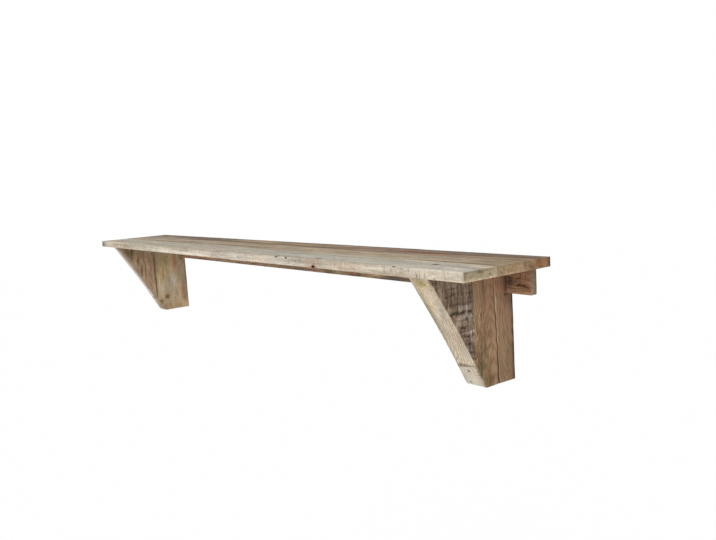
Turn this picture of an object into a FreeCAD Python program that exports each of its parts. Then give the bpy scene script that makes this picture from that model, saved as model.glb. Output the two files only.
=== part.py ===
import FreeCAD, Part
import os
import Sketcher

# Wall shelf of reclaimed timber. Three boards are joined edge to edge into one top, with a loose
# tongue in each joint. A rail runs under its rear edge and is screwed to the wall. Two brackets carry the top: each is a post against
# the wall with a wedge in front of it, dowelled together and then sawn off along one slightly
# hollow diagonal. The rail lies in a housing cut into the top rear corner of each post.
#
# Millimetres. +Z is up, +X is to the right of someone who faces the shelf, and the room is at -Y.
# The origin is on the wall, in the middle of the row of wall screws.

SIZES = (
    ("top_length", 1800, "the boards, end to end"),
    ("top_thickness", 20, "all three boards"),
    ("front_board_width", 90, "front board, front to back"),
    ("middle_board_width", 79, "middle board"),
    ("rear_board_width", 79, "rear board, which touches the wall"),
    ("board_ease", 1.5, "rounded long arrises of the top"),
    ("joint_ease", 0.8, "small bevels that meet along each joint of the top"),
    ("rail_height", 59, "rail, top to bottom"),
    ("rail_thickness", 18, "rail, out from the wall"),
    ("rail_end_inset", 35, "end of the rail inside the end of the top"),
    ("rail_ease", 2, "bevelled lower front arris of the rail"),
    ("bracket_inset", 98, "outer face of a bracket inside the end of the top"),
    ("bracket_thickness", 55, "post and wedge, left to right"),
    ("bracket_drop", 245, "bracket, below the boards"),
    ("head_setback", 6, "front of the bracket behind the front of the top"),
    ("foot_depth", 91, "bottom of the bracket, out from the wall"),
    ("post_width", 119, "post, out from the wall"),
    ("cut_bow", 3.5, "hollow of the diagonal saw cut"),
    ("bracket_ease", 1.2, "bevelled arrises of the diagonal and the foot"),
    ("housing_gap", 1.2, "room under the rail in its housing"),
    ("wall_screw_count", 4, "holes for wall screws"),
    ("wall_screw_pitch", 400, "from one wall screw to the next"),
    ("wall_hole_diameter", 6, "clearance hole in the rail"),
    ("wall_sink_diameter", 12, "countersink of a wall screw"),
    ("wall_sink_angle", 90, "and its cone, in degrees"),
    ("screw_length", 50, "every wood screw, head included"),
    ("screw_diameter", 5, "shank"),
    ("screw_head_diameter", 9.6, "flat head, which lies in a bore"),
    ("screw_head_height", 3, "and its height"),
    ("screw_clearance", 0.1, "between a screw and its hole, all round"),
    ("drill_reserve", 1, "a blind hole runs on past what it holds"),
    ("pellet_diameter", 10, "wooden pellet over a screw head"),
    ("pellet_length", 6, "and its height"),
    ("front_screw_setback", 57, "front board's screw, behind the front of the top"),
    ("rail_top_screw_count", 4, "screws from the rear board into the rail"),
    ("rail_top_screw_inset", 165, "first and last of them inside the ends of the rail"),
    ("tongue_width", 16, "loose tongue in each joint of the top, half in each board"),
    ("tongue_thickness", 6, "and its height"),
    ("tongue_end_inset", 40, "its groove stops inside the ends of the top"),
    ("tongue_clearance", 0.1, "between a tongue and its groove, all round"),
    ("dowel_clearance", 0.05, "between a dowel and its hole, all round"),
    ("bracket_dowel_diameter", 10, "dowels between post and wedge"),
    ("bracket_dowel_length", 40, "half in each piece"),
    ("bracket_dowel_drop", 65, "first dowel, below the boards"),
    ("bracket_dowel_pitch", 65, "second dowel, below the first"),
    ("cut_overrun", 5, "every cut runs this far out of the wood"),
)

doc = FreeCAD.newDocument("wall_shelf")
sizes = doc.addObject("Spreadsheet::Sheet", "Sizes")
for row, (alias, number, note) in enumerate(SIZES, 1):
    sizes.set(f"A{row}", alias)
    sizes.set(f"B{row}", str(number))
    sizes.setAlias(f"B{row}", alias)
    sizes.set(f"C{row}", note)
doc.recompute()

# Places that several pieces share, as expressions of the sizes.
BOARD_UNDERSIDE = "Sizes.rail_height / 2"
FRONT_JOINT = "(Sizes.middle_board_width + Sizes.rear_board_width)"
TOP_DEPTH = f"({FRONT_JOINT} + Sizes.front_board_width)"
HEAD_DEPTH = f"({TOP_DEPTH} - Sizes.head_setback)"
FOOT_HEIGHT = f"({BOARD_UNDERSIDE} - Sizes.bracket_drop)"
BRACKET_CENTRE = "(Sizes.top_length / 2 - Sizes.bracket_inset - Sizes.bracket_thickness / 2)"
SHANK_HOLE = "Sizes.screw_diameter + 2 * Sizes.screw_clearance"
TOP_SCREW_DEPTH = "Sizes.pellet_length + Sizes.screw_length - Sizes.top_thickness + Sizes.drill_reserve"
TOP_SCREW_PLACES = {
    "front": f"-({TOP_DEPTH} - Sizes.front_screw_setback)",
    "middle": "-(Sizes.rear_board_width + Sizes.post_width) / 2",
}
RAIL_LENGTH = "(Sizes.top_length - 2 * Sizes.rail_end_inset)"
RAIL_TOP_PITCH = f"({RAIL_LENGTH} - 2 * Sizes.rail_top_screw_inset) / (Sizes.rail_top_screw_count - 1)"
BRACKET_DOWEL_HEIGHTS = (
    f"{BOARD_UNDERSIDE} - Sizes.bracket_dowel_drop",
    f"{BOARD_UNDERSIDE} - Sizes.bracket_dowel_drop - Sizes.bracket_dowel_pitch",
)


def value(expression):
    """The number that an expression of the sizes gives."""
    found = sizes.evalExpression(expression)
    return float(getattr(found, "Value", found))


def row_of(count, pitch):
    """Expressions for the places of evenly spaced things, centred on zero."""
    middle = f"(Sizes.{count} - 1) / 2"
    return [f"({index} - {middle}) * {pitch}" for index in range(round(value(f"Sizes.{count}")))]


def new_body(label, **place):
    """An empty body with its name, set at a place given as expressions for x, y and z."""
    body = doc.addObject("PartDesign::Body", label)
    for axis, expression in place.items():
        body.setExpression(f"Placement.Base.{axis}", expression)
    return body


def new_sketch(body, name, plane, offset="0"):
    """A sketch on one of the body's own planes, moved along the plane's normal."""
    sketch = body.newObject("Sketcher::SketchObject", name)
    support = next(part for part in body.Origin.OriginFeatures if part.Role == f"{plane}_Plane")
    sketch.AttachmentSupport = (support, "")
    sketch.MapMode = "FlatFace"
    sketch.setExpression("AttachmentOffset.Base.z", offset)
    return sketch


def pin(sketch, shape, point, across, up):
    """Holds one point of a shape in a sketch at two expressions from the sketch's origin."""
    for kind, axis, expression in (("DistanceX", -2, across), ("DistanceY", -1, up)):
        if expression == "0":
            sketch.addConstraint(Sketcher.Constraint("PointOnObject", shape, point, axis))
            continue
        number = sketch.addConstraint(Sketcher.Constraint(kind, -1, 1, shape, point, value(expression)))
        sketch.setExpression(f"Constraints[{number}]", expression)


def corner(across, up):
    """The place in a sketch that two expressions give."""
    return FreeCAD.Vector(value(across), value(up), 0)


def add_lines(sketch, corners, closed=True):
    """Straight lines from corner to corner, each corner pinned by its pair of expressions."""
    points = [corner(*pair) for pair in corners]
    ends = points[1:] + points[:1] if closed else points[1:]
    lines = [sketch.addGeometry(Part.LineSegment(a, b), False) for a, b in zip(points, ends)]
    for line, following in zip(lines, lines[1:] + (lines[:1] if closed else [])):
        sketch.addConstraint(Sketcher.Constraint("Coincident", line, 2, following, 1))
    for line, (across, up) in zip(lines, corners):
        pin(sketch, line, 1, across, up)
    if not closed:
        pin(sketch, lines[-1], 2, *corners[-1])
    return lines


def set_through(feature):
    """Makes a pad or pocket run the same way to both sides of its sketch."""
    feature.SideType = "Symmetric"


def check_cut(body, before):
    """Stops if a cut took nothing away."""
    doc.recompute()
    if not body.Shape.Volume < before:
        raise RuntimeError(f"{body.Label}: {body.Tip.Label} cuts nothing")


def pad_outline(body, plane, corners, length):
    """A straight bar with the outline's section, centred on the plane."""
    sketch = new_sketch(body, "Outline", plane)
    add_lines(sketch, corners)
    pad = body.newObject("PartDesign::Pad", "Pad")
    pad.Profile = sketch
    set_through(pad)
    pad.setExpression("Length", length)
    doc.recompute()
    return pad


def break_edges(body, kind, size, wanted):
    """Bevels (Chamfer) or rounds (Fillet) the edges of the tip that the test picks."""
    base = body.Tip
    names = [f"Edge{n}" for n, edge in enumerate(base.Shape.Edges, 1) if wanted(edge)]
    if not names:
        raise RuntimeError(f"{body.Label}: no edge to break")
    feature = body.newObject(f"PartDesign::{kind}", kind)
    feature.Base = (base, names)
    feature.setExpression("Size" if kind == "Chamfer" else "Radius", size)
    doc.recompute()


def add_circles(sketch, places, diameter):
    """One circle at each place."""
    for across, up in places:
        circle = Part.Circle(corner(across, up), FreeCAD.Vector(0, 0, 1), value(diameter) / 2)
        shape = sketch.addGeometry(circle, False)
        number = sketch.addConstraint(Sketcher.Constraint("Diameter", shape, value(diameter)))
        sketch.setExpression(f"Constraints[{number}]", diameter)
        pin(sketch, shape, 3, across, up)


def drill_blind(body, name, plane, offset, places, diameter, depth, backwards=False):
    """Blind round holes with flat bottoms."""
    before = body.Shape.Volume
    sketch = new_sketch(body, f"{name}Places", plane, offset)
    add_circles(sketch, places, diameter)
    pocket = body.newObject("PartDesign::Pocket", name)
    pocket.Profile = sketch
    pocket.setExpression("Length", depth)
    pocket.Reversed = backwards
    check_cut(body, before)


def drill_through(body, name, plane, offset, places, diameter, head, bore=None, backwards=False):
    """Through holes with room for a head: a flat-bottomed bore of a given depth, or else a countersink."""
    before = body.Shape.Volume
    sketch = new_sketch(body, f"{name}Places", plane, offset)
    add_circles(sketch, places, diameter)
    doc.recompute()
    hole = body.newObject("PartDesign::Hole", name)
    hole.Profile = sketch
    hole.DepthType = "ThroughAll"
    hole.HoleCutType = "Counterbore" if bore else "Countersink"
    hole.setExpression("Diameter", diameter)
    hole.setExpression("HoleCutDiameter", head)
    if bore:
        hole.setExpression("HoleCutDepth", bore)
    else:
        hole.setExpression("HoleCutCountersinkAngle", "Sizes.wall_sink_angle")
    hole.Reversed = backwards
    check_cut(body, before)


def runs_along(edge, axis):
    """Whether a straight edge is parallel to an axis."""
    straight = isinstance(edge.Curve, Part.Line)
    return straight and abs(getattr(edge.tangentAt(edge.FirstParameter), axis)) > 0.999


def groove_edge(board, side, offset):
    """A stopped groove for a loose tongue, along the middle of a board's front or rear edge."""
    before = board.Shape.Volume
    reach = "Sizes.top_length / 2 - Sizes.tongue_end_inset"
    middle, half = "Sizes.top_thickness / 2", "(Sizes.tongue_thickness / 2 + Sizes.tongue_clearance)"
    low, high = f"{middle} - {half}", f"{middle} + {half}"
    sketch = new_sketch(board, f"{side.title()}Edge", "XZ", offset)
    add_lines(sketch, ((f"-({reach})", low), (reach, low), (reach, high), (f"-({reach})", high)))
    pocket = board.newObject("PartDesign::Pocket", f"{side.title()}Groove")
    pocket.Profile = sketch
    pocket.setExpression("Length", "Sizes.tongue_width / 2 + Sizes.tongue_clearance")
    pocket.Reversed = side == "rear"
    check_cut(board, before)


def make_board(label, width, rear_edge, joints, screws):
    """A board of the top: its rear edge on y = 0 and its underside on z = 0 of its own frame.

    joints names the long edges that meet another board, front or rear.
    """
    board = new_body(label, y=rear_edge, z=BOARD_UNDERSIDE)
    front = f"-Sizes.{width}"
    corners = ((front, "0"), ("0", "0"), ("0", "Sizes.top_thickness"), (front, "Sizes.top_thickness"))
    pad_outline(board, "YZ", corners, "Sizes.top_length")
    middle = value(front) / 2

    def is_open(edge):
        side = "rear" if edge.CenterOfMass.y > middle else "front"
        return runs_along(edge, "x") and side not in joints

    def is_joint(edge):
        side = "rear" if edge.CenterOfMass.y > middle else "front"
        above = edge.CenterOfMass.z > value("Sizes.top_thickness") / 2
        return runs_along(edge, "x") and side in joints and above

    if len(joints) == 1:
        break_edges(board, "Fillet", "Sizes.board_ease", is_open)
    break_edges(board, "Chamfer", "Sizes.joint_ease", is_joint)
    for side in joints:
        groove_edge(board, side, "0" if side == "rear" else f"Sizes.{width}")
    drill_through(
        board, "TopScrews", "XY", "Sizes.top_thickness", screws, SHANK_HOLE,
        "Sizes.pellet_diameter", bore="Sizes.pellet_length + Sizes.screw_head_height",
    )
    return board


def on_both_brackets(place, rear_edge):
    """One board's screw places over the two brackets, in the board's own frame."""
    return [(f"{sign}{BRACKET_CENTRE}", f"{place} - ({rear_edge})") for sign in ("-", "")]


def make_top():
    """The three boards, front to back."""
    rear_joint = "-Sizes.rear_board_width"
    front_joint = f"-{FRONT_JOINT}"
    front = make_board(
        "top_board_front", "front_board_width", front_joint, ("rear",),
        on_both_brackets(TOP_SCREW_PLACES["front"], front_joint),
    )
    middle = make_board(
        "top_board_middle", "middle_board_width", rear_joint, ("front", "rear"),
        on_both_brackets(TOP_SCREW_PLACES["middle"], rear_joint),
    )
    rear = make_board(
        "top_board_rear", "rear_board_width", "0", ("front",),
        [(x, "-Sizes.rail_thickness / 2") for x in row_of("rail_top_screw_count", RAIL_TOP_PITCH)],
    )
    return [front, middle, rear]


def make_rail():
    """The rail on the wall, centred on the row of wall screws."""
    rail = new_body("wall_rail")
    half = "Sizes.rail_height / 2"
    front = "-Sizes.rail_thickness"
    corners = ((front, f"-{half}"), ("0", f"-{half}"), ("0", half), (front, half))
    pad_outline(rail, "YZ", corners, RAIL_LENGTH)

    def is_lower_front(edge):
        centre = edge.CenterOfMass
        return runs_along(edge, "x") and centre.y < value(front) / 2 and centre.z < 0

    break_edges(rail, "Chamfer", "Sizes.rail_ease", is_lower_front)
    drill_through(
        rail, "WallScrews", "XZ", "Sizes.rail_thickness",
        [(place, "0") for place in row_of("wall_screw_count", "Sizes.wall_screw_pitch")],
        "Sizes.wall_hole_diameter", "Sizes.wall_sink_diameter",
    )
    drill_through(
        rail, "PostScrews", "XZ", "0",
        [(f"{sign}{BRACKET_CENTRE}", "0") for sign in ("-", "")], SHANK_HOLE,
        "Sizes.screw_head_diameter + 2 * Sizes.screw_clearance", bore="Sizes.screw_head_height", backwards=True,
    )
    drill_blind(
        rail, "BoardScrews", "XY", half,
        [(place, f"{front} / 2") for place in row_of("rail_top_screw_count", RAIL_TOP_PITCH)],
        SHANK_HOLE, TOP_SCREW_DEPTH,
    )
    return rail


def saw_diagonal(body):
    """Takes off the waste in front of the diagonal, a shallow arc from the head to the foot."""
    before = body.Shape.Volume
    head = (f"-{HEAD_DEPTH}", BOARD_UNDERSIDE)
    foot = ("-Sizes.foot_depth", FOOT_HEIGHT)
    below = f"{FOOT_HEIGHT} - Sizes.cut_overrun"
    outside = f"-{HEAD_DEPTH} - Sizes.cut_overrun"
    sketch = new_sketch(body, "Waste", "YZ")
    lines = add_lines(
        sketch, (foot, ("-Sizes.foot_depth", below), (outside, below), (outside, BOARD_UNDERSIDE), head),
        closed=False,
    )
    start, end = corner(*head), corner(*foot)
    chord = end - start
    into_wood = FreeCAD.Vector(-chord.y, chord.x, 0).normalize()
    deepest = (start + end) / 2 + into_wood * value("Sizes.cut_bow")
    arc = Part.Arc(start, deepest, end)
    shape = sketch.addGeometry(arc, False)
    ends = (1, 2) if sketch.getPoint(shape, 1).distanceToPoint(start) < value("Sizes.cut_bow") else (2, 1)
    sketch.addConstraint(Sketcher.Constraint("Coincident", shape, ends[0], lines[-1], 2))
    sketch.addConstraint(Sketcher.Constraint("Coincident", shape, ends[1], lines[0], 1))
    half_chord_squared = f"(({HEAD_DEPTH} - Sizes.foot_depth)^2 + Sizes.bracket_drop^2) / 4"
    radius = f"({half_chord_squared} + Sizes.cut_bow^2) / (2 * Sizes.cut_bow)"
    number = sketch.addConstraint(Sketcher.Constraint("Radius", shape, value(radius)))
    sketch.setExpression(f"Constraints[{number}]", radius)
    pocket = body.newObject("PartDesign::Pocket", "Diagonal")
    pocket.Profile = sketch
    set_through(pocket)
    pocket.setExpression("Length", "Sizes.bracket_thickness + 2 * Sizes.cut_overrun")
    check_cut(body, before)


def is_on_diagonal(edge):
    """Whether an edge of a bracket's piece is an arris of the sawn diagonal."""
    return isinstance(edge.Curve, Part.Circle)


def make_post(side, sign):
    """The upright against the wall: sawn to the diagonal, housed for the rail, and drilled."""
    post = new_body(f"{side}_bracket_post", x=f"{sign}{BRACKET_CENTRE}")
    front = "-Sizes.post_width"
    corners = ((front, FOOT_HEIGHT), ("0", FOOT_HEIGHT), ("0", BOARD_UNDERSIDE), (front, BOARD_UNDERSIDE))
    pad_outline(post, "YZ", corners, "Sizes.bracket_thickness")
    saw_diagonal(post)
    foot = value(FOOT_HEIGHT)

    def is_foot_arris(edge):
        return edge.CenterOfMass.z < foot + value("Sizes.bracket_ease") and runs_along(edge, "y")

    break_edges(post, "Chamfer", "Sizes.bracket_ease", lambda e: is_on_diagonal(e) or is_foot_arris(e))
    before = post.Shape.Volume
    housing = new_sketch(post, "Housing", "YZ")
    floor = f"{BOARD_UNDERSIDE} - Sizes.rail_height - Sizes.housing_gap"
    beyond = f"{BOARD_UNDERSIDE} + Sizes.cut_overrun"
    inner = "-Sizes.rail_thickness"
    add_lines(
        housing, ((inner, floor), ("Sizes.cut_overrun", floor), ("Sizes.cut_overrun", beyond), (inner, beyond))
    )
    pocket = post.newObject("PartDesign::Pocket", "RailHousing")
    pocket.Profile = housing
    set_through(pocket)
    pocket.setExpression("Length", "Sizes.bracket_thickness + 2 * Sizes.cut_overrun")
    check_cut(post, before)
    drill_blind(
        post, "TopScrew", "XY", BOARD_UNDERSIDE, [("0", TOP_SCREW_PLACES["middle"])], SHANK_HOLE,
        TOP_SCREW_DEPTH,
    )
    drill_blind(
        post, "RailScrew", "XZ", "Sizes.rail_thickness", [("0", "0")], SHANK_HOLE,
        "Sizes.screw_length - Sizes.rail_thickness + Sizes.drill_reserve", backwards=True,
    )
    drill_blind(
        post, "Dowels", "XZ", "Sizes.post_width", [("0", height) for height in BRACKET_DOWEL_HEIGHTS],
        "Sizes.bracket_dowel_diameter + 2 * Sizes.dowel_clearance",
        "Sizes.bracket_dowel_length / 2 + Sizes.drill_reserve",
    )
    return post


def make_wedge(side, sign):
    """The piece in front of the post, sawn off on the same diagonal."""
    wedge = new_body(f"{side}_bracket_wedge", x=f"{sign}{BRACKET_CENTRE}")
    front, rear = f"-{HEAD_DEPTH}", "-Sizes.post_width"
    corners = ((front, FOOT_HEIGHT), (rear, FOOT_HEIGHT), (rear, BOARD_UNDERSIDE), (front, BOARD_UNDERSIDE))
    pad_outline(wedge, "YZ", corners, "Sizes.bracket_thickness")
    saw_diagonal(wedge)
    break_edges(wedge, "Chamfer", "Sizes.bracket_ease", is_on_diagonal)
    drill_blind(
        wedge, "TopScrew", "XY", BOARD_UNDERSIDE, [("0", TOP_SCREW_PLACES["front"])], SHANK_HOLE,
        TOP_SCREW_DEPTH,
    )
    drill_blind(
        wedge, "Dowels", "XZ", "Sizes.post_width", [("0", height) for height in BRACKET_DOWEL_HEIGHTS],
        "Sizes.bracket_dowel_diameter + 2 * Sizes.dowel_clearance",
        "Sizes.bracket_dowel_length / 2 + Sizes.drill_reserve", backwards=True,
    )
    return wedge


def turn(body, corners):
    """A turned piece: the outline in the XZ plane, spun about the Z axis."""
    sketch = new_sketch(body, "Profile", "XZ")
    add_lines(sketch, corners)
    spin = body.newObject("PartDesign::Revolution", "Spin")
    spin.Profile = sketch
    spin.ReferenceAxis = (sketch, ["V_Axis"])
    spin.Angle = 360
    doc.recompute()


def make_screw():
    """A flat-headed wood screw with its head's top on z = 0 and its end below."""
    screw = new_body("screw")
    shank, head = "Sizes.screw_diameter / 2", "Sizes.screw_head_diameter / 2"
    neck, end = "-Sizes.screw_head_height", "-Sizes.screw_length"
    turn(screw, (("0", "0"), (head, "0"), (head, neck), (shank, neck), (shank, end), ("0", end)))
    return screw


def make_pellet():
    """A wooden pellet with its top on z = 0."""
    pellet = new_body("pellet")
    radius = "Sizes.pellet_diameter / 2"
    turn(pellet, (("0", "0"), (radius, "0"), (radius, "-Sizes.pellet_length"), ("0", "-Sizes.pellet_length")))
    return pellet


def make_dowel():
    """A dowel along Z, centred."""
    dowel = new_body("dowel")
    radius, half = "Sizes.bracket_dowel_diameter / 2", "Sizes.bracket_dowel_length / 2"
    turn(dowel, (("0", f"-{half}"), (radius, f"-{half}"), (radius, half), ("0", half)))
    return dowel


def make_tongue(label, joint):
    """The loose tongue in one joint of the top, centred on it."""
    tongue = new_body(label, y=joint, z=f"{BOARD_UNDERSIDE} + Sizes.top_thickness / 2")
    across, up = "Sizes.tongue_width / 2", "Sizes.tongue_thickness / 2"
    corners = ((f"-{across}", f"-{up}"), (across, f"-{up}"), (across, up), (f"-{across}", up))
    length = "Sizes.top_length - 2 * (Sizes.tongue_end_inset + Sizes.tongue_clearance)"
    pad_outline(tongue, "YZ", corners, length)
    return tongue


def place_group(label, piece, places, lying=False):
    """One node of like pieces: a link to the piece at each place, (x, y, z), lying along Y if asked."""
    links = []
    for number, place in enumerate(places, 1):
        link = doc.addObject("App::Link", f"{label}_{number}")
        link.LinkedObject = piece
        if lying:
            link.Placement.Rotation = FreeCAD.Rotation(FreeCAD.Vector(1, 0, 0), -90)
        for axis, expression in zip("xyz", place):
            link.setExpression(f"Placement.Base.{axis}", expression)
        links.append(link)
    group = doc.addObject("Part::Compound", label)
    group.Links = links
    doc.recompute()
    return group


def make_fixings():
    """Screws, pellets, dowels and tongues, grouped by the joint that they hold."""
    screw = make_screw()
    pellet = make_pellet()
    dowel = make_dowel()
    board_top = f"({BOARD_UNDERSIDE} + Sizes.top_thickness)"
    head_height = f"{board_top} - Sizes.pellet_length"
    nodes = []
    for side, sign in (("left", "-"), ("right", "")):
        centre = f"{sign}{BRACKET_CENTRE}"
        depths = TOP_SCREW_PLACES.values()
        nodes += [
            place_group(f"top_screws_{side}", screw, [(centre, y, head_height) for y in depths]),
            place_group(f"top_pellets_{side}", pellet, [(centre, y, board_top) for y in depths]),
            place_group(f"rail_screw_{side}", screw, [(centre, "0", "0")], lying=True),
            place_group(
                f"bracket_dowels_{side}", dowel,
                [(centre, "-Sizes.post_width", height) for height in BRACKET_DOWEL_HEIGHTS], lying=True,
            ),
        ]
    along_rail = row_of("rail_top_screw_count", RAIL_TOP_PITCH)
    middle_of_rail = "-Sizes.rail_thickness / 2"
    nodes += [
        place_group("rail_top_screws", screw, [(x, middle_of_rail, head_height) for x in along_rail]),
        place_group("rail_top_pellets", pellet, [(x, middle_of_rail, board_top) for x in along_rail]),
    ]
    return nodes + [
        make_tongue("board_tongue_front", f"-{FRONT_JOINT}"),
        make_tongue("board_tongue_rear", "-Sizes.rear_board_width"),
    ]


def check_and_write(nodes):
    """Stops on any failed object or bad shape, and otherwise writes one STEP file per node."""
    doc.recompute()
    for thing in doc.Objects:
        if {"Invalid", "Error"} & set(thing.State):
            raise RuntimeError(f"{thing.Label} is {thing.State}")
    for node in nodes:
        if node.Shape.isNull() or not node.Shape.isValid():
            raise RuntimeError(f"{node.Label} has no valid shape")
    os.makedirs("parts", exist_ok=True)
    for node in nodes:
        node.Shape.exportStep(f"parts/{node.Label}.step")
        print(node.Label, len(node.Shape.Solids), "solid(s),", round(node.Shape.Volume / 1000, 2), "cm3")


nodes = make_top() + [make_rail()]
for side, sign in (("left", "-"), ("right", "")):
    nodes += [make_post(side, sign), make_wedge(side, sign)]
check_and_write(nodes + make_fixings())
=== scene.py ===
import math

import bpy
import numpy as np
from mathutils import Matrix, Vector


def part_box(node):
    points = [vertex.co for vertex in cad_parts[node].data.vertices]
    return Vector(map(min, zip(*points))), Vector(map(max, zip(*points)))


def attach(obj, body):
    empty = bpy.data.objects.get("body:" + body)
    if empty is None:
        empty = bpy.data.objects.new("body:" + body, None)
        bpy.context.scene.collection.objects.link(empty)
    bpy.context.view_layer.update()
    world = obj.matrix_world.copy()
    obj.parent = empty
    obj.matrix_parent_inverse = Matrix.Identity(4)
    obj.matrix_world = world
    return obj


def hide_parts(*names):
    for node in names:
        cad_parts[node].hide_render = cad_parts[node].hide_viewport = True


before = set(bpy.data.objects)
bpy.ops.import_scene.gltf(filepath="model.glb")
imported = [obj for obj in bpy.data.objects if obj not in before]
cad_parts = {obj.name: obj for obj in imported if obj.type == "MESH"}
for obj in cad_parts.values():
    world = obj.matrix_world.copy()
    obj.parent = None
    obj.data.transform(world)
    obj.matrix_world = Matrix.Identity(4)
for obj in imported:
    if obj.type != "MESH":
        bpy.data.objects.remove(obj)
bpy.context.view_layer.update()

# Lengths are in metres. The wall is the plane y = 0, the room is at -Y and +Z is up.
MM = 0.001
TAU = 2 * math.pi
WHITE = (1, 1, 1, 1)

# The saw cut that shaped both brackets: it meets the floor of a bracket this far from the wall, and
# its middle lies this much behind the straight line from head to foot.
FOOT_DEPTH = 91 * MM
CUT_BOW = 3.5 * MM
# The joint in a bracket isn't quite square: this much further out at the head than at the foot, and
# this much further back on the left side than on the right.
JOINT_LEAN = 2.8 * MM
JOINT_TWIST = 4.7 * MM
BRACKET_WIDTH = 55 * MM
# Radii of arrises: the sawn ends of the boards, the brackets' worn arrises and their glued joint.
END_ARRIS = 0.6 * MM
WORN_ARRIS = 1.1 * MM
JOINT_ARRIS = 0.5 * MM


# Nodes.


class Nodes:
    """The node tree of a material or world. Each call adds a node and gives that node's output."""

    def __init__(self, owner):
        owner.use_nodes = True
        self.owner, self.tree = owner, owner.node_tree
        self.tree.nodes.clear()

    def add(self, kind, output=0, inputs=None, **settings):
        node = self.tree.nodes.new("ShaderNode" + kind)
        for key, setting in settings.items():
            setattr(node, key, setting)
        for key, given in (inputs or {}).items():
            if isinstance(given, bpy.types.NodeSocket):
                self.tree.links.new(given, node.inputs[key])
            else:
                node.inputs[key].default_value = given
        return node.outputs[output]

    def sums(self, operation, one, two=0.0, three=0.0):
        return self.add("Math", operation=operation, inputs={0: one, 1: two, 2: three})

    def product(self, one, two):
        return self.sums("MULTIPLY", one, two)

    def scaled(self, number, factor, plus):
        """number * factor + plus"""
        return self.sums("MULTIPLY_ADD", number, factor, plus)

    def end(self, kind, surface):
        """Gives the surface to the tree's output, and the finished material or world back."""
        output = self.tree.nodes.new("ShaderNodeOutput" + kind)
        self.tree.links.new(surface, output.inputs["Surface"])
        return self.owner


class Finish(Nodes):
    """A material on the piece's own coordinates, with its grain along one axis."""

    def __init__(self, name, along="x", seed=0.0):
        super().__init__(bpy.data.materials.new(name))
        self.place = self.add("TexCoord", output="Object")
        self.axis = "xyz".index(along)
        self.shift = (seed * 1.7, seed * 2.3, seed * 3.1)

    def scale(self, lengthwise, crosswise):
        return tuple(lengthwise if n == self.axis else crosswise for n in range(3))

    def stretched(self, scale, shift=(0, 0, 0)):
        return self.add("Mapping", inputs={"Vector": self.place, "Location": shift, "Scale": scale})

    def turned(self, turns):
        return self.add("Mapping", inputs={"Vector": self.place, "Rotation": turns})

    def noise(self, place, detail, roughness, distortion=0.0):
        return self.add("TexNoise", inputs={"Vector": place, "Scale": 1.0, "Detail": detail,
                                            "Roughness": roughness, "Distortion": distortion})

    def grain(self, lengthwise, crosswise, detail, roughness=0.6, distortion=0.0):
        """Noise with so many waves a metre along the grain and across it."""
        place = self.stretched(self.scale(lengthwise, crosswise), self.shift)
        return self.noise(place, detail, roughness, distortion)

    def length(self, place):
        return self.add("VectorMath", operation="LENGTH", output="Value", inputs={0: place})

    def reach(self, centre, size, noise=None, wander=0.0):
        """Distance from a centre, 1 at the given half sizes. Noise makes that rim wander."""
        shift = tuple(-middle / half for middle, half in zip(centre, size))
        reach = self.length(self.stretched(tuple(1 / half for half in size), shift))
        if noise is None:
            return reach
        return self.sums("ADD", reach, self.product(self.sums("SUBTRACT", noise, 0.5), wander))

    def step(self, number, low, high, least=0.0, most=1.0):
        """least up to low and most from high on, with a smooth step between them."""
        ends = {"Value": number, "From Min": low, "From Max": high, "To Min": least, "To Max": most}
        return self.add("MapRange", inputs=ends, interpolation_type="SMOOTHSTEP")

    def blend(self, share, one, two, kind="MIX"):
        one, two = (given if isinstance(given, bpy.types.NodeSocket) else (*given, 1) for given in (one, two))
        return self.add("Mix", output=2, inputs={0: share, 6: one, 7: two}, data_type="RGBA", blend_type=kind)

    def times(self, share, colour, factor):
        """The colour times a factor, as far as the share goes."""
        return self.blend(share, colour, factor, "MULTIPLY")

    def grey_times(self, colour, factor):
        return self.times(1.0, colour, self.add("CombineColor", inputs={0: factor, 1: factor, 2: factor}))

    def field(self, name, output="Fac"):
        return self.add("Attribute", output=output, attribute_name=name)

    def bump(self, height, strength, distance):
        return self.add("Bump", inputs={"Strength": strength, "Distance": distance, "Height": height})

    def close(self, **sockets):
        """Ends the material with a plain shader that takes the given sockets."""
        inputs = {key.replace("_", " "): given for key, given in sockets.items()}
        return self.end("Material", self.add("BsdfPrincipled", inputs=inputs))


# Camera, light and floor.


def stand(thing, right, up, back, place):
    """Puts a camera or lamp in its place, with its own x, y and z along right, up and back."""
    rows = [[right[n], up[n], back[n], place[n]] for n in range(3)] + [[0, 0, 0, 1]]
    thing.matrix_world = Matrix(rows)
    bpy.context.scene.collection.objects.link(thing)


def place_camera():
    """The photograph's view: a little above the shelf, from its right end."""
    data = bpy.data.cameras.new("camera")
    data.lens = 37.144
    data.clip_start, data.clip_end = 0.05, 60
    camera = bpy.data.objects.new("camera", data)
    stand(camera, right=(0.62427, 0.77897, -0.05912), up=(-0.06101, 0.12406, 0.99040),
          back=(0.77882, -0.61467, 0.12497), place=(1.79886, -1.19357, 0.22742))
    bpy.context.scene.camera = camera


def light_world(strength):
    """An even white surround: `strength` lights the object, and what the camera sees is white."""
    nodes = Nodes(bpy.data.worlds.new("studio"))
    rays = nodes.add("LightPath").node.outputs
    seen = nodes.sums("MAXIMUM", rays["Is Camera Ray"], rays["Is Glossy Ray"])
    seen = nodes.sums("MAXIMUM", seen, rays["Is Transmission Ray"])
    dim = nodes.add("Background", inputs={"Color": WHITE, "Strength": strength})
    white = nodes.add("Background", inputs={"Color": WHITE})
    mix = nodes.add("MixShader", inputs={0: seen, 1: dim, 2: white})
    bpy.context.scene.world = nodes.end("World", mix)


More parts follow.
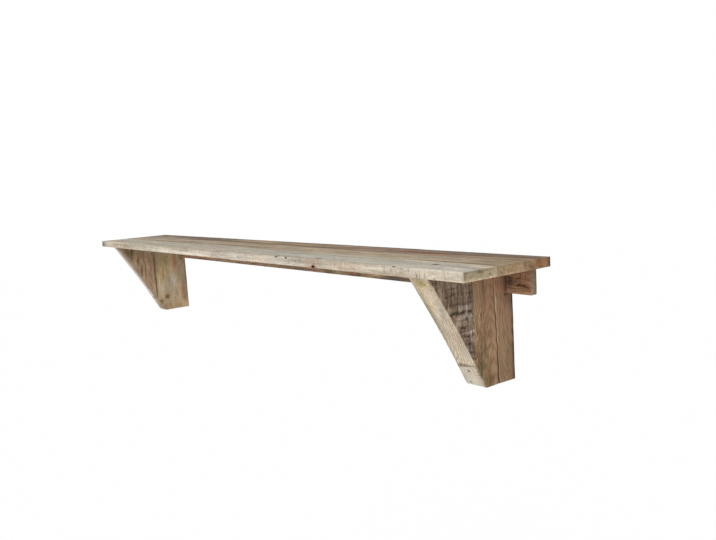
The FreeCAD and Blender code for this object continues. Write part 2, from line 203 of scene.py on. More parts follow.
def hang_lamp(name, towards, strength, spread):
    """A far, soft lamp that shines along `towards` and is `spread` degrees wide."""
    data = bpy.data.lights.new(name, "SUN")
    data.energy = strength
    data.angle = math.radians(spread)
    back = -np.array(towards) / np.linalg.norm(towards)
    side = np.cross((0, 0, 1), back)
    side /= np.linalg.norm(side)
    stand(bpy.data.objects.new(name, data), side, np.cross(back, side), back, (0, 0, 0))


def lay_floor(height, half, glow):
    """A pale floor under the shelf. The camera sees `glow` of it as plain white and the rest as lit."""
    mesh = bpy.data.meshes.new("floor")
    rim = [(x, y, height) for x, y in ((-half, -half), (half, -half), (half, half), (-half, half))]
    mesh.from_pydata(rim, [], [(0, 1, 2, 3)])
    floor = bpy.data.objects.new("floor", mesh)
    bpy.context.scene.collection.objects.link(floor)
    nodes = Nodes(bpy.data.materials.new("floor_paint"))
    matt = nodes.add("BsdfDiffuse", inputs={"Color": (0.9, 0.9, 0.9, 1)})
    seen = nodes.product(nodes.add("LightPath", output="Is Camera Ray"), glow)
    mix = nodes.add("MixShader", inputs={0: seen, 1: matt, 2: nodes.add("Emission")})
    mesh.materials.append(nodes.end("Material", mix))


# Surfaces: blocks of timber as grids, softened at their arrises.


def paint(red, green, blue):
    """A colour from 0 to 255 a channel, as light."""
    share = np.array([red, green, blue]) / 255
    return np.where(share <= 0.04045, share / 12.92, ((share + 0.055) / 1.055) ** 2.4)


def tint(shade, share, colour):
    """A colour laid over a shade, as far as each point's share goes."""
    return shade * (1 - share[:, None]) + paint(*colour) * share[:, None]


def drift(points, period, seed):
    """Chance variation, about -1 to 1: a mean of sines with chance directions and starts.

    period is the usual distance from crest to crest, along x, y and z or the same along all. The gain
    brings the mean of so many sines back to about 1.
    """
    waves, spread, gain = 9, 0.7, 2.1
    chance = np.random.default_rng(seed)
    turns = chance.normal(size=(waves, 3)) / (np.ones(3) * period) * spread
    starts = chance.uniform(0, TAU, waves)
    return np.sin(points @ turns.T * TAU + starts).mean(axis=1) * gain


def ease(values, low, high):
    """0 below low and 1 above high, with a smooth step 3s^2 - 2s^3 between them."""
    share = np.clip((values - low) / (high - low), 0, 1)
    return share * share * (3 - 2 * share)


def fade(distance, length):
    """exp(-distance / length), and 1 where the distance is below 0."""
    return np.exp(-np.maximum(distance, 0) / length)


def box(node):
    """A node's lowest and highest corners, as arrays."""
    return tuple(np.array(corner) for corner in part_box(node))


def to_ends(x, low, high):
    """Distance along x to the nearer end of a box."""
    return np.minimum(x - low[0], high[0] - x)


def grid_lines(low, high, step, arris, extra=()):
    """Grid lines from low to high, `step` apart, closer over `arris` at both ends and where asked."""
    close = arris * np.array([0, 0.12, 0.28, 0.5, 0.75, 1.05, 1.4])
    first, last = low + 1.9 * arris, high - 1.9 * arris
    even = np.linspace(first, last, max(2, round((last - first) / step) + 1))
    lines = np.concatenate([low + close, even, high - close, np.asarray(extra, float)])
    lines = np.unique(lines.round(6))
    return lines[np.concatenate([[True], np.diff(lines) > 0.06 * MM])]


def block_skin(counts):
    """Grid places (i, j, k) on the six sides of a block of grid lines, and quads that face outwards.

    A place's number is (i * ny + j) * nz + k, and each side's quads run over its two other lines.
    """
    quads = []
    for axis, across, up in ((0, 1, 2), (1, 2, 0), (2, 0, 1)):
        one, two = np.meshgrid(np.arange(counts[across] - 1), np.arange(counts[up] - 1), indexing="ij")
        for end in (0, counts[axis] - 1):
            ring = []
            for along, over in ((0, 0), (1, 0), (1, 1), (0, 1)):
                place = [None, None, None]
                place[axis] = np.full_like(one, end)
                place[across] = one + along
                place[up] = two + over
                ring.append(((place[0] * counts[1] + place[1]) * counts[2] + place[2]).ravel())
            quads.append(np.stack(ring if end else ring[::-1], axis=1))
    numbers, faces = np.unique(np.concatenate(quads), return_inverse=True)
    return np.stack(np.unravel_index(numbers, counts), axis=1), faces.reshape(-1, 4)


def block(low, high, steps, arris, extra_x, extra_z):
    """Points and quads on the skin of a box, with more grid lines at the extra places."""
    lines = [grid_lines(low[n], high[n], steps[n], arris, extra)
             for n, extra in enumerate((extra_x, (), extra_z))]
    places, faces = block_skin([len(line) for line in lines])
    return np.stack([line[places[:, n]] for n, line in enumerate(lines)], axis=1), faces


def around(centres, offsets):
    """Each centre plus and minus each offset."""
    return [centre + sign * offset for centre in centres for offset in offsets for sign in (-1, 1)]


def soften(points, low, high, radius, hollow=0):
    """Rounds arrises: a point outside the block that is `radius` smaller goes back to `radius` from it.

    hollow sinks the surface by that much along its own normal.
    """
    radius = np.asarray(radius, float).reshape(-1, 1) * np.ones((len(points), 1))
    inner = np.clip(points, low + radius, high - radius)
    away = points - inner
    length = np.maximum(np.linalg.norm(away, axis=1, keepdims=True), 1e-9)
    reach = np.minimum(length, radius) - np.asarray(hollow, float).reshape(-1, 1) * (length > 0.5 * radius)
    return inner + away / length * reach


def carve(points, axis, surface, depth):
    """Cuts into one side: nothing stays further out along the axis than `depth` inside the surface.

    surface is the side's place, with the side on the high end of the axis if surface is above the middle.
    """
    outward = 1 if surface > points[:, axis].mean() else -1
    limit = surface - outward * depth
    pushed = np.minimum(points[:, axis], limit) if outward > 0 else np.maximum(points[:, axis], limit)
    points[:, axis] = np.where(depth > 0, pushed, points[:, axis])


def dye_with_painted_light_and_shade(points, base, corner, patches, seed):
    """Colours at points: base, with each patch laid over it as a soft blot exp(-distance squared).

    A patch is a row of x, y, z from the corner and half sizes along x, y, z, all in millimetres, then
    colour and strength. Its rim wanders by chance. Most are the wood's own colour, some painted shade
    or painted light.
    """
    wander = drift(points, 22 * MM, seed) * 0.22
    for row in patches:
        place, size = corner + np.array(row[:3]) * MM, np.array(row[3:6]) * MM
        distance = np.linalg.norm((points - place) / size, axis=1) + wander
        base = tint(base, row[7] * np.exp(-np.maximum(distance, 0) ** 2), row[6])
    return base


def side_colours(near, blur, colours):
    """The colours of a piece's sides, mixed over the arrises. near is the distance to each side."""
    weight = fade(np.stack(near, axis=1), blur)
    weight /= weight.sum(axis=1, keepdims=True)
    return weight @ np.array([paint(*colour) for colour in colours])


def plank_shade(points, low, high, colours, corner, patches, seed):
    """A board's or rail's colours: of its front, top, ends, under side and back, and then its patches."""
    near = (points[:, 1] - low[1], high[2] - points[:, 2], to_ends(points[:, 0], low, high),
            points[:, 2] - low[2], high[1] - points[:, 1])
    return dye_with_painted_light_and_shade(points, side_colours(near, 0.5 * MM, colours), corner, patches, seed)


def nearest_arris(points, low, high):
    """Distance from each point of a block's skin to the block's nearest arris."""
    return np.sort(np.minimum(points - low, high - points), axis=1)[:, 1]


def make_piece(node, slot, material, points, faces, **fields):
    """A smooth mesh of the points and quads in its node's place.

    The fields are its attributes: numbers, or colours for shade.
    """
    name = f"{node}_wood"
    mesh = bpy.data.meshes.new(name)
    mesh.vertices.add(len(points))
    mesh.vertices.foreach_set("co", points.astype(np.float32).ravel())
    mesh.loops.add(faces.size)
    mesh.loops.foreach_set("vertex_index", faces.astype(np.int32).ravel())
    mesh.polygons.add(len(faces))
    mesh.polygons.foreach_set("loop_start", np.arange(0, faces.size, 4, dtype=np.int32))
    mesh.polygons.foreach_set("use_smooth", np.ones(len(faces), bool))
    mesh.update(calc_edges=True)
    for field, values in fields.items():
        if values.ndim == 2:
            attribute = mesh.attributes.new(field, "FLOAT_COLOR", "POINT")
            colours = np.concatenate([values, np.ones((len(values), 1))], axis=1)
            attribute.data.foreach_set("color", colours.astype(np.float32).ravel())
        else:
            attribute = mesh.attributes.new(field, "FLOAT", "POINT")
            attribute.data.foreach_set("value", values.astype(np.float32))
    mesh.materials.append(material)
    piece = bpy.data.objects.new(name, mesh)
    bpy.context.scene.collection.objects.link(piece)
    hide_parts(node)
    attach(piece, "root")


# Timber finish.


def timber(name, along, corner, heart, rings, bands, widths, wane, stretch=25, seed=0.0, taper=0.02,
           fibre=0.6, dust=0.3, saw=0.0, checks=0.5, knots=(), stains=(), cloudy=(0.86, 1.13), speck=0.16,
           flecks=None):
    """Sawn wood: growth rings round a heart, long bands, fine fibre, checks, dirt, stains and knots.

    along is the grain's axis and heart the place of the pith in the two other axes. The rings are cones:
    fract((distance from the heart + taper * length along + chance) / pitch), and late wood is the sharp
    end of each. rings is (pitch, factor, share). bands is (dark factor, light factor, broad share, close
    share), with widths in mm and stretch as their length over their width. All of these multiply the
    mesh's shade.

    cloudy is the least and most factor of wide clouds. speck, fibre, dust, checks and saw are the
    strengths of small mottling, fine lines, dirt in the pores, short splits and blade marks across the
    grain. wane is the (colour, share) of worn arrises. flecks is the (tilt, centre, half sizes) of a
    place with silver grain. A stain is a row of x, y, z, three half sizes and factor, and a knot one of
    x, y, z, half size, length over width and share. These three are in millimetres from the corner.

    The mesh says where a face is worn (near an arris), clean (fresh from the diagonal cut), sawn (end
    grain) or a pit.
    """
    wood = Finish(name, along, seed)
    others = [n for n in range(3) if n != wood.axis]
    clean, sawn = wood.field("clean"), wood.field("sawn")
    old = wood.scaled(clean, -0.8, 1.0)
    fibres = wood.grain(26, 1300, 3.0, 0.7)
    cloud = wood.grain(11, 36, 5.0)

    # Rings: the distance from the heart, bent by chance and led round the knots.
    from_heart = [0.0, 0.0, 0.0]
    for n, offset in zip(others, heart):
        from_heart[n] = -offset
    radius = wood.length(wood.stretched(wood.scale(0, 1), tuple(from_heart)))
    bend = wood.sums("SUBTRACT", wood.grain(2.2, 13, 2.0), 0.5)
    radius = wood.sums("ADD", radius, wood.product(bend, 30 * MM))
    radius = wood.scaled(wood.add("SeparateXYZ", output=wood.axis, inputs={0: wood.place}), taper, radius)
    whorls = []
    for x, y, z, half, longer, share in knots:
        centre = corner + np.array((x, y, z)) * MM
        size = wood.scale(half * longer * MM, half * MM)
        reach = wood.reach(centre, size, wood.grain(60, 60, 2.0), 0.9)
        radius = wood.scaled(wood.step(reach, 3.4, 0.4), half * MM * 1.5, radius)
        whorls.append((reach, share))
    turn = wood.sums("FRACT", wood.sums("DIVIDE", radius, rings[0]))
    late = wood.product(wood.step(turn, 0.3, 0.85), wood.step(turn, 1.0, 0.9))
    late = wood.product(late, wood.step(wood.grain(1.6, 30, 1.0), 0.3, 0.65, 0.25, 1.0))

    # Bands, rings, clouds and mottling.
    broad, close = (wood.grain(1000 / width / stretch, 1000 / width, 3.0, roughness)
                    for width, roughness in zip(widths, (0.6, 0.65)))
    dark, light, broad_share, close_share = bands
    colour = wood.field("shade", "Color")
    long_side = wood.product(old, wood.scaled(sawn, -0.75, 1.0))
    for band, share in ((broad, broad_share), (close, close_share)):
        for rise_to, factor in ((0.64, dark), (0.37, light)):
            strength = wood.product(wood.step(band, 0.5, rise_to, 0.0, share), long_side)
            colour = wood.times(strength, colour, factor)
    colour = wood.times(wood.product(late, wood.scaled(sawn, 0.3, rings[2])), colour, rings[1])
    clouded = wood.grey_times(colour, wood.step(cloud, 0.3, 0.7, *cloudy))
    colour = wood.blend(wood.scaled(sawn, -0.6, 1.0), colour, clouded)
    small = wood.grain(110, 230, 3.0, 0.7)
    mottled = wood.grey_times(colour, wood.step(small, 0.3, 0.7, 1 - speck, 1 + speck))
    colour = wood.blend(old, colour, mottled)

    # Lines down the clean cut, and the saw's strokes on end grain.
    sloped = wood.noise(wood.stretched((190, 5, 5), wood.shift), 2.0, 0.65)
    lines = wood.product(wood.step(sloped, 0.52, 0.63), clean)
    lines = wood.product(lines, wood.step(wood.grain(14, 20, 2.0), 0.4, 0.6, 0.0, 1.0))
    colour = wood.times(lines, colour, (0.8, 0.76, 0.68))
    tilted = wood.turned(wood.scale(0.6, 0.0))
    strokes = wood.add("Mapping", inputs={
        "Vector": tilted, "Scale": tuple(60 if n == others[0] else 620 for n in range(3))})
    kerf = wood.noise(strokes, 3.0, 0.7)
    for low, high, factor in ((0.47, 0.68, (0.66, 0.6, 0.52)), (0.5, 0.3, (1.22, 1.2, 1.16))):
        colour = wood.times(wood.product(wood.step(kerf, low, high), sawn), colour, factor)
    colour = wood.grey_times(colour, wood.step(fibres, 0.28, 0.74, 1 - 0.42 * fibre, 1 + 0.3 * fibre))

    # Checks, dirt and blade marks.
    split = wood.sums("ABSOLUTE", wood.sums("SUBTRACT", wood.grain(2.6, 95, 2.0), 0.5))
    split = wood.product(wood.step(split, 0.011, 0.004), wood.step(wood.grain(5, 24, 2.0), 0.52, 0.6))
    split = wood.product(wood.product(split, checks), old)
    colour = wood.times(split, colour, (0.3, 0.25, 0.22))
    dirt = wood.product(wood.step(wood.grain(160, 420, 2.0), 0.62, 0.74),
                        wood.step(wood.grain(14, 40, 3.0), 0.45, 0.62))
    colour = wood.times(wood.product(wood.product(dirt, dust), old), colour, (0.35, 0.3, 0.26))
    rise = wood.scaled(close, 0.9, wood.product(fibres, 0.5))
    rise = wood.scaled(split, -1.2, wood.scaled(late, 0.3, rise))
    if saw:
        marks = wood.product(wood.step(wood.grain(340, 34, 4.0, 0.65, 0.6), 0.52, 0.68),
                             wood.step(wood.grain(24, 30, 3.0), 0.42, 0.6))
        marks = wood.product(marks, old)
        colour = wood.times(wood.product(marks, saw), colour, (0.52, 0.47, 0.43))
        rise = wood.scaled(marks, -0.9 * saw, rise)

    # Worn arrises, silver grain, stains, knots and pits.
    bare = wood.product(wood.field("worn"), wood.step(wood.grain(45, 120, 4.0, 0.7), 0.35, 0.6))
    colour = wood.blend(wood.product(bare, wane[1]), colour, paint(*wane[0]))
    if flecks:
        tilt, centre, size = flecks
        slanted = wood.turned((tilt, 0.0, 0.0))
        ray = wood.noise(wood.add("Mapping", inputs={"Vector": slanted, "Scale": (60, 420, 60)}), 2.0, 0.6)
        here = wood.step(wood.reach(corner + np.array(centre) * MM, np.array(size) * MM), 1.2, 0.6)
        for rise_to, factor in ((0.64, (1.3, 1.28, 1.24)), (0.4, (0.68, 0.63, 0.55))):
            colour = wood.times(wood.product(wood.step(ray, 0.53, rise_to), here), colour, factor)
    for row in stains:
        centre, size = corner + np.array(row[:3]) * MM, np.array(row[3:6]) * MM
        reach = wood.reach(centre, size, wood.grain(150, 300, 2.0), 0.8)
        colour = wood.times(wood.step(reach, 1.15, 0.6), colour, row[6])
    for reach, share in whorls:
        whorl = wood.sums("FRACT", wood.product(reach, 3.2))
        colour = wood.times(wood.step(reach, 1.9, 0.95, 0.0, share * 0.5), colour, (0.62, 0.5, 0.4))
        colour = wood.times(wood.step(reach, 1.05, 0.8, 0.0, share), colour, (0.5, 0.38, 0.3))
        inner = wood.product(wood.step(reach, 1.0, 0.85), wood.step(whorl, 0.55, 0.95))
        colour = wood.times(wood.product(inner, share * 0.6), colour, (0.5, 0.4, 0.34))
    colour = wood.blend(wood.field("pit"), colour, paint(34, 24, 17))
    return wood.close(Base_Color=colour, Roughness=wood.step(cloud, 0.3, 0.7, 0.74, 0.92),
                      Specular_IOR_Level=0.25, Normal=wood.bump(rise, 0.55, 0.7 * MM))


# The three boards of the top. Rows are in millimetres from the corner that the board's call gives.


GREY_PATCHES = [
    (0, 0, -19, 1200, 4, 2.2, (206, 172, 146), 0.65),
    (-600, 0, -9, 200, 8, 16, (168, 157, 138), 0.85),
    (-850, 0, -10, 50, 12, 30, (196, 188, 168), 0.8),
    (-904, 0, -10, 30, 30, 30, (84, 87, 82), 1),
    (-760, 0, -10, 35, 10, 20, (182, 162, 144), 0.85),
    (-730, 0, -8, 7, 5, 10, (208, 190, 168), 0.8),
    (-660, 0, -12, 40, 5, 6, (186, 164, 122), 0.6),
    (200, 0, -8, 160, 6, 14, (204, 200, 190), 0.8),
    (600, 0, -6, 300, 6, 9, (212, 204, 188), 0.7),
    (840, 0, -8, 50, 6, 14, (218, 208, 188), 0.8),
    (890, 0, -8, 5, 4, 16, (226, 214, 190), 0.8),
    (680, 0, -16, 30, 6, 6, (200, 194, 166), 0.7),
    (430, 0, -8, 45, 12, 20, (180, 162, 144), 0.9),
    (340, 0, -8, 55, 5, 8, (206, 203, 190), 0.8),
    (432, 0, -18, 24, 4, 4, (158, 124, 104), 0.75),
    (440, 0, -15, 7, 4, 5, (136, 98, 74), 0.7),
    (560, 0, -8, 60, 6, 12, (208, 186, 164), 0.6),
    (720, 0, -14, 45, 6, 8, (190, 172, 156), 0.6),
    (-350, 0, -9, 220, 6, 16, (226, 220, 204), 0.75),
    (200, 0, -14, 50, 6, 9, (216, 190, 164), 0.6),
    (-550, 30, 0, 400, 50, 5, (166, 158, 140), 0.6),
    (-100, 20, 0, 200, 25, 5, (176, 158, 144), 0.75),
    (300, 50, 0, 220, 20, 5, (168, 170, 158), 0.7),
    (620, 20, 0, 250, 20, 5, (184, 178, 166), 0.7),
    (380, 75, 0, 280, 8, 5, (146, 136, 116), 0.6),
    (180, 12, 0, 30, 10, 4, (190, 176, 168), 0.7),
    (874, 68, 0, 26, 11, 6, (240, 218, 180), 0.95),
    # Painted light: paler along the joint with the middle board, over the groove's shade.
    (770, 90, 0, 130, 4, 3, (208, 196, 172), 0.9),
    (850, 35, 0, 80, 30, 6, (203, 199, 190), 0.85),
    (900, 30, -9, 5, 35, 9, (158, 146, 118), 0.6),
    (900.5, 2.6, -9, 1.2, 2.6, 12, (104, 90, 68), 0.9),
    (900, 50, -2.6, 2.4, 60, 2.8, (124, 112, 74), 0.75),
    (900, 45, -19, 5, 90, 3, (206, 186, 160), 0.85),
]
# Nail dents, weather marks and splits in the front edge, and stains on the top and the sawn end.
GREY_STAINS = [
    (713.5, 0, -0.5, 5, 5, 2.4, (0.2, 0.17, 0.14)),
    (779, 0, -16, 1.7, 5, 7, (0.5, 0.48, 0.47)),
    (786, 0, -13, 1.4, 5, 8, (0.66, 0.62, 0.6)),
    (801, 0, -14, 1.7, 5, 7, (0.52, 0.48, 0.45)),
    (705, 0, -9, 1.5, 5, 6, (0.62, 0.58, 0.54)),
    (684, 0, -12, 1.4, 5, 6, (0.64, 0.6, 0.55)),
    (632, 0, -4, 6, 5, 1.2, (0.6, 0.55, 0.5)),
    (340, 0, -11, 2, 5, 6, (0.7, 0.66, 0.62)),
    (354.5, 0, -8.5, 2.2, 5, 4, (0.6, 0.57, 0.52)),
    (368.5, 0, -8.5, 2.2, 5, 4, (0.62, 0.6, 0.55)),
    (384.5, 0, -4.5, 2.6, 5, 4, (0.62, 0.6, 0.55)),
    (520, 0, -9, 3, 5, 5, (0.72, 0.66, 0.6)),
    (100, 0, -10, 3, 5, 6, (0.7, 0.66, 0.6)),
    (-120, 0, -8, 4, 5, 5, (0.72, 0.68, 0.64)),
    (-420, 0, -10, 4, 5, 6, (0.7, 0.66, 0.62)),
    (826, 0, -17, 4, 5, 2, (0.6, 0.52, 0.46)),
    (771.5, 59.5, 0, 8.5, 8.5, 3, (0.24, 0.21, 0.18)),
    (285.5, 3, 0, 7, 7, 5.5, (0.2, 0.18, 0.14)),
    (327.5, 2, 0, 5, 6, 6, (0.14, 0.12, 0.1)),
    (434, 19.5, 0, 10, 9, 4, (0.26, 0.24, 0.2)),
    (-722, 0, -12, 2.4, 5, 9, (0.78, 0.72, 0.68)),
    (900, 20, -11, 4, 7, 3, (0.7, 0.68, 0.6)),
    (900, 45, -6, 4, 9, 2.4, (0.72, 0.7, 0.6)),
    (900, 70, -12, 4, 6, 3, (0.74, 0.7, 0.6)),
]
TAN_PATCHES = [
    (300, 8, 0, 220, 12, 5, (178, 164, 134), 0.8),
    (870, 6, 0, 80, 50, 4, (126, 106, 76), 0.75),
    # Painted light: paler along the joint with the front board, over the groove's shade.
    (770, -39.5, 0, 130, 3, 3, (206, 194, 168), 0.9),
    (-900, 0, 0, 40, 50, 14, (104, 96, 84), 0.9),
    (0, -25, 0, 500, 10, 5, (150, 130, 110), 0.6),
    (-500, 0, 0, 300, 18, 5, (164, 150, 134), 0.6),
    (-150, 20, 0, 200, 12, 5, (140, 122, 88), 0.7),
    (600, 30, 0, 250, 8, 5, (134, 112, 86), 0.7),
    (800, -15, 0, 120, 12, 5, (168, 148, 122), 0.6),
    # Painted light: paler along the front arris by the joint, over the groove's shade.
    (740, -38, 0, 140, 5, 3, (186, 170, 142), 0.8),
    (900, 0, -19, 5, 60, 3, (202, 178, 150), 0.85),
    (900, 39.5, -8, 6, 4, 8, (112, 98, 66), 0.85),
    (900, -39.5, -10, 6, 14, 16, (162, 146, 116), 0.8),
]
BROWN_PATCHES = [
    (380, 0, 0, 500, 12, 12, (74, 61, 55), 0.9),
    # Painted shade: near black along the rear top arris, by the wall.
    (-400, 0, 0, 1200, 6.5, 12, (40, 33, 27), 0.95),
    (543, -40, 0, 70, 9, 5, (164, 104, 84), 0.8),
    (-900, -40, 0, 60, 60, 14, (92, 82, 70), 0.9),
    (630, -62, 0, 60, 6, 5, (166, 110, 86), 0.75),
    (470, -34, 0, 50, 6, 5, (158, 104, 88), 0.7),
    (100, -58, 0, 300, 12, 5, (146, 130, 98), 0.75),
    (50, -30, 0, 250, 12, 5, (128, 114, 88), 0.75),
    (-300, -50, 0, 300, 14, 5, (142, 128, 96), 0.7),
    (300, -45, 0, 120, 8, 5, (128, 98, 82), 0.7),
    (-700, -60, 0, 200, 16, 5, (150, 138, 122), 0.7),
    (800, -55, 0, 160, 8, 5, (146, 122, 96), 0.7),
    (860, -20, 0, 80, 14, 5, (96, 80, 72), 0.7),
    (900, -72, -10, 5, 16, 20, (156, 134, 104), 0.85),
    (900, -22, -6, 5, 9, 9, (166, 120, 80), 0.8),
    (900, -36, -12, 5, 8, 5, (168, 122, 78), 0.7),
    # Painted shade: dark at the rear of the sawn end, by the wall.
    (900, 1, -10, 9, 9, 24, (54, 42, 38), 0.95),
    (900, -40, -19, 5, 50, 2.2, (176, 140, 108), 0.5),
]


def make_board(node, slot, corner, colours, patches, wood, seed, sides, hole=None):
    """A board along X, from its node's box: rounded worn arrises and a slightly hollow face.

    colours are of the front, top, ends, under side and back. sides gives the radius of the front and
    the rear arrises in millimetres. hole is the (x, z, half width, half height, depth) of a nail hole
    in the front.
    """
    low, high = box(node)
    widest = 2.4 * MM
    extra_x, extra_z = (), ()
    if hole:
        x, z, wide, tall, deep = np.array(hole) * MM
        rings = np.concatenate([[0], np.linspace(0.5, 5.6, 12)]) * MM
        extra_x = around([x], rings)
        extra_z = [place for place in around([z], rings) if low[2] < place < high[2]]
    points, faces = block(low, high, (3.2 * MM, 3.5 * MM, 2 * MM), widest, extra_x, extra_z)
    middle = (low[1] + high[1]) / 2
    side = np.where(points[:, 1] < middle, sides[0] * MM, sides[1] * MM)
    wear = np.clip(0.75 + 0.55 * drift(points, (70 * MM, 300 * MM, 60 * MM), seed), 0.35, 1.9)
    radius = END_ARRIS + (side * wear - END_ARRIS) * ease(to_ends(points[:, 0], low, high), 0, 9 * MM)
    radius = np.clip(radius, 0.25 * MM, widest)
    hollow = 0.16 * MM + 0.12 * MM * drift(points, (260 * MM, 30 * MM, 40 * MM), seed + 1)
    hollow = hollow + 0.05 * MM * drift(points, (60 * MM, 7 * MM, 7 * MM), seed + 2)
    points = soften(points, low, high, radius, np.clip(hollow, 0.03 * MM, 0.5 * MM))
    pit = np.zeros(len(points))
    if hole:
        distance = np.hypot((points[:, 0] - x) / wide, (points[:, 2] - z) / tall)
        front = points[:, 1] < middle
        carve(points, 1, low[1], np.where(front, deep * ease(distance, 1.1, 0.75), 0))
        pit = ease(distance, 1.25, 0.95) * (points[:, 1] < low[1] + 1.2 * deep)
    shade = plank_shade(points, low, high, colours, corner, patches, seed + 5)
    sawn = np.exp(-to_ends(points[:, 0], low, high) / (0.8 * MM))
    worn = np.exp(-nearest_arris(points, low, high) / (2.2 * MM)) * ease(-points[:, 1], 0, 8 * MM)
    worn *= 1 - 0.85 * ease(sawn, 0.2, 0.8)
    make_piece(node, slot, timber(along="x", corner=corner, **wood), points, faces,
               shade=shade, worn=worn, sawn=sawn, pit=pit)


def make_top():
    """Front, middle and rear board."""
    low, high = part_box("top_board_front")
    edge, top = low.y, high.z
    make_board(
        "top_board_front", "board_grey", (0, edge, top),
        ((208, 200, 187), (180, 174, 160), (180, 164, 136), (156, 142, 118), (150, 138, 112)), GREY_PATCHES,
        dict(name="grey_board", heart=(edge + 30 * MM, top - 65 * MM),
             rings=(3.4 * MM, (0.8, 0.72, 0.6), 0.4), widths=(26, 7), dust=0.9, saw=0.85, taper=0.012,
             bands=((0.76, 0.72, 0.67), (1.14, 1.14, 1.13), 0.75, 0.75), wane=((222, 212, 190), 0.45),
             stains=GREY_STAINS),
        seed=11, sides=(1.3, 0.3), hole=(437.5, 32.4, 5.4, 2.9, 6),
    )
    low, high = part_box("top_board_middle")
    make_board(
        "top_board_middle", "board_tan", (0, (low.y + high.y) / 2, top),
        ((150, 134, 106), (166, 152, 132), (166, 142, 110), (140, 122, 96), (140, 122, 96)), TAN_PATCHES,
        dict(name="tan_board", heart=(-0.118, top - 90 * MM), rings=(3 * MM, (0.76, 0.66, 0.52), 0.45),
             bands=((0.7, 0.64, 0.56), (1.24, 1.23, 1.2), 1.0, 0.9), widths=(30, 10), seed=3.0, dust=0.6,
             wane=((186, 170, 140), 0.35), taper=0.015, cloudy=(0.82, 1.16),
             knots=[(759.7, -35, 0, 5, 1.5, 0.8)]),
        seed=23, sides=(0.3, 0.5),
    )
    make_board(
        "top_board_rear", "board_brown", (0, 0, top),
        ((120, 100, 82), (130, 113, 95), (142, 112, 84), (112, 92, 74), (104, 86, 72)), BROWN_PATCHES,
        dict(name="brown_board", heart=(-0.04, top - 48 * MM), rings=(3.4 * MM, (0.7, 0.6, 0.5), 0.5),
             bands=((0.6, 0.53, 0.47), (1.42, 1.36, 1.26), 1.0, 1.0), widths=(24, 11), seed=6.0, dust=0.7,
             wane=((150, 128, 104), 0.2), taper=0.015, cloudy=(0.78, 1.2)),
        seed=37, sides=(0.5, 1.5),
    )


# The rail on the wall. Rows are in millimetres from the middle of the rail's front.


RAIL_PATCHES = [
    (840, 0, -24.5, 50, 5, 6, (182, 136, 92), 0.75),
    # Painted shade: darker on the rail's front beside the post.
    (811, 0, -4, 9, 5, 16, (104, 78, 70), 0.85),
    (853, 0, 14, 4, 5, 14, (170, 134, 122), 0.75),
    (846, 0, 2, 5, 5, 7, (186, 150, 120), 0.6),
    # Painted shade: darker along the top of the rail's front, under the board.
    (840, 0, 24, 30, 5, 6, (112, 80, 58), 0.6),
    (0, 0, -23.5, 900, 5, 14, (156, 138, 120), 0.8),
    (283, 0, -25.5, 20, 5, 12, (168, 124, 88), 0.85),
    (235, 0, -25.5, 25, 5, 12, (192, 174, 136), 0.8),
    (312, 0, -25.5, 8, 5, 10, (88, 74, 56), 0.8),
    (100, 0, -25.5, 35, 5, 10, (190, 150, 128), 0.8),
    (30, 0, -25.5, 30, 5, 12, (134, 112, 92), 0.7),
    (-70, 0, -25.5, 60, 5, 10, (170, 150, 116), 0.8),
    (450, 0, -25.5, 55, 5, 14, (118, 110, 108), 0.92),
    (540, 0, -25.5, 40, 5, 14, (134, 126, 124), 0.85),
    (178, 0, -25.5, 25, 5, 10, (108, 97, 62), 0.9),
    (365, 0, -25.5, 30, 5, 10, (176, 156, 122), 0.85),
    (620, 0, -25.5, 50, 5, 14, (136, 116, 104), 0.8),
    (-420, 0, -25.5, 50, 5, 10, (172, 156, 138), 0.8),
    # Painted shade: darker along the rear arris of the rail's end.
    (865, 16, 0, 8, 3, 100, (96, 84, 72), 0.7),
    (838, 0, 4, 1.5, 5, 13, (96, 66, 46), 0.75),
    (830, 0, -16, 20, 5, 2.4, (186, 150, 116), 0.75),
    (853, 0, -14, 8, 5, 3, (132, 84, 44), 0.8),
    (824, 0, 8, 9, 5, 2.4, (186, 150, 112), 0.7),
    (807, 0, -24.5, 7, 5, 5, (190, 158, 124), 0.8),
]
RAIL_STAINS = [
    (826, 0, 4, 5, 4, 1.6, (1.35, 1.32, 1.25)),
    (833, 0, 8, 4, 4, 1.4, (1.3, 1.26, 1.2)),
    (828, 0, -3, 5, 4, 1.8, (0.55, 0.48, 0.42)),
    (833, 0, -8, 4, 4, 2, (0.5, 0.44, 0.38)),
    (838.5, 0, 8, 1.4, 4, 6, (0.78, 0.7, 0.6)),
    (839.5, 0, -8, 1.5, 4, 8, (0.72, 0.62, 0.52)),
    (852, 0, 8, 2, 4, 4, (0.5, 0.44, 0.42)),
    (846, 0, -2, 4, 4, 1.6, (0.66, 0.58, 0.5)),
]


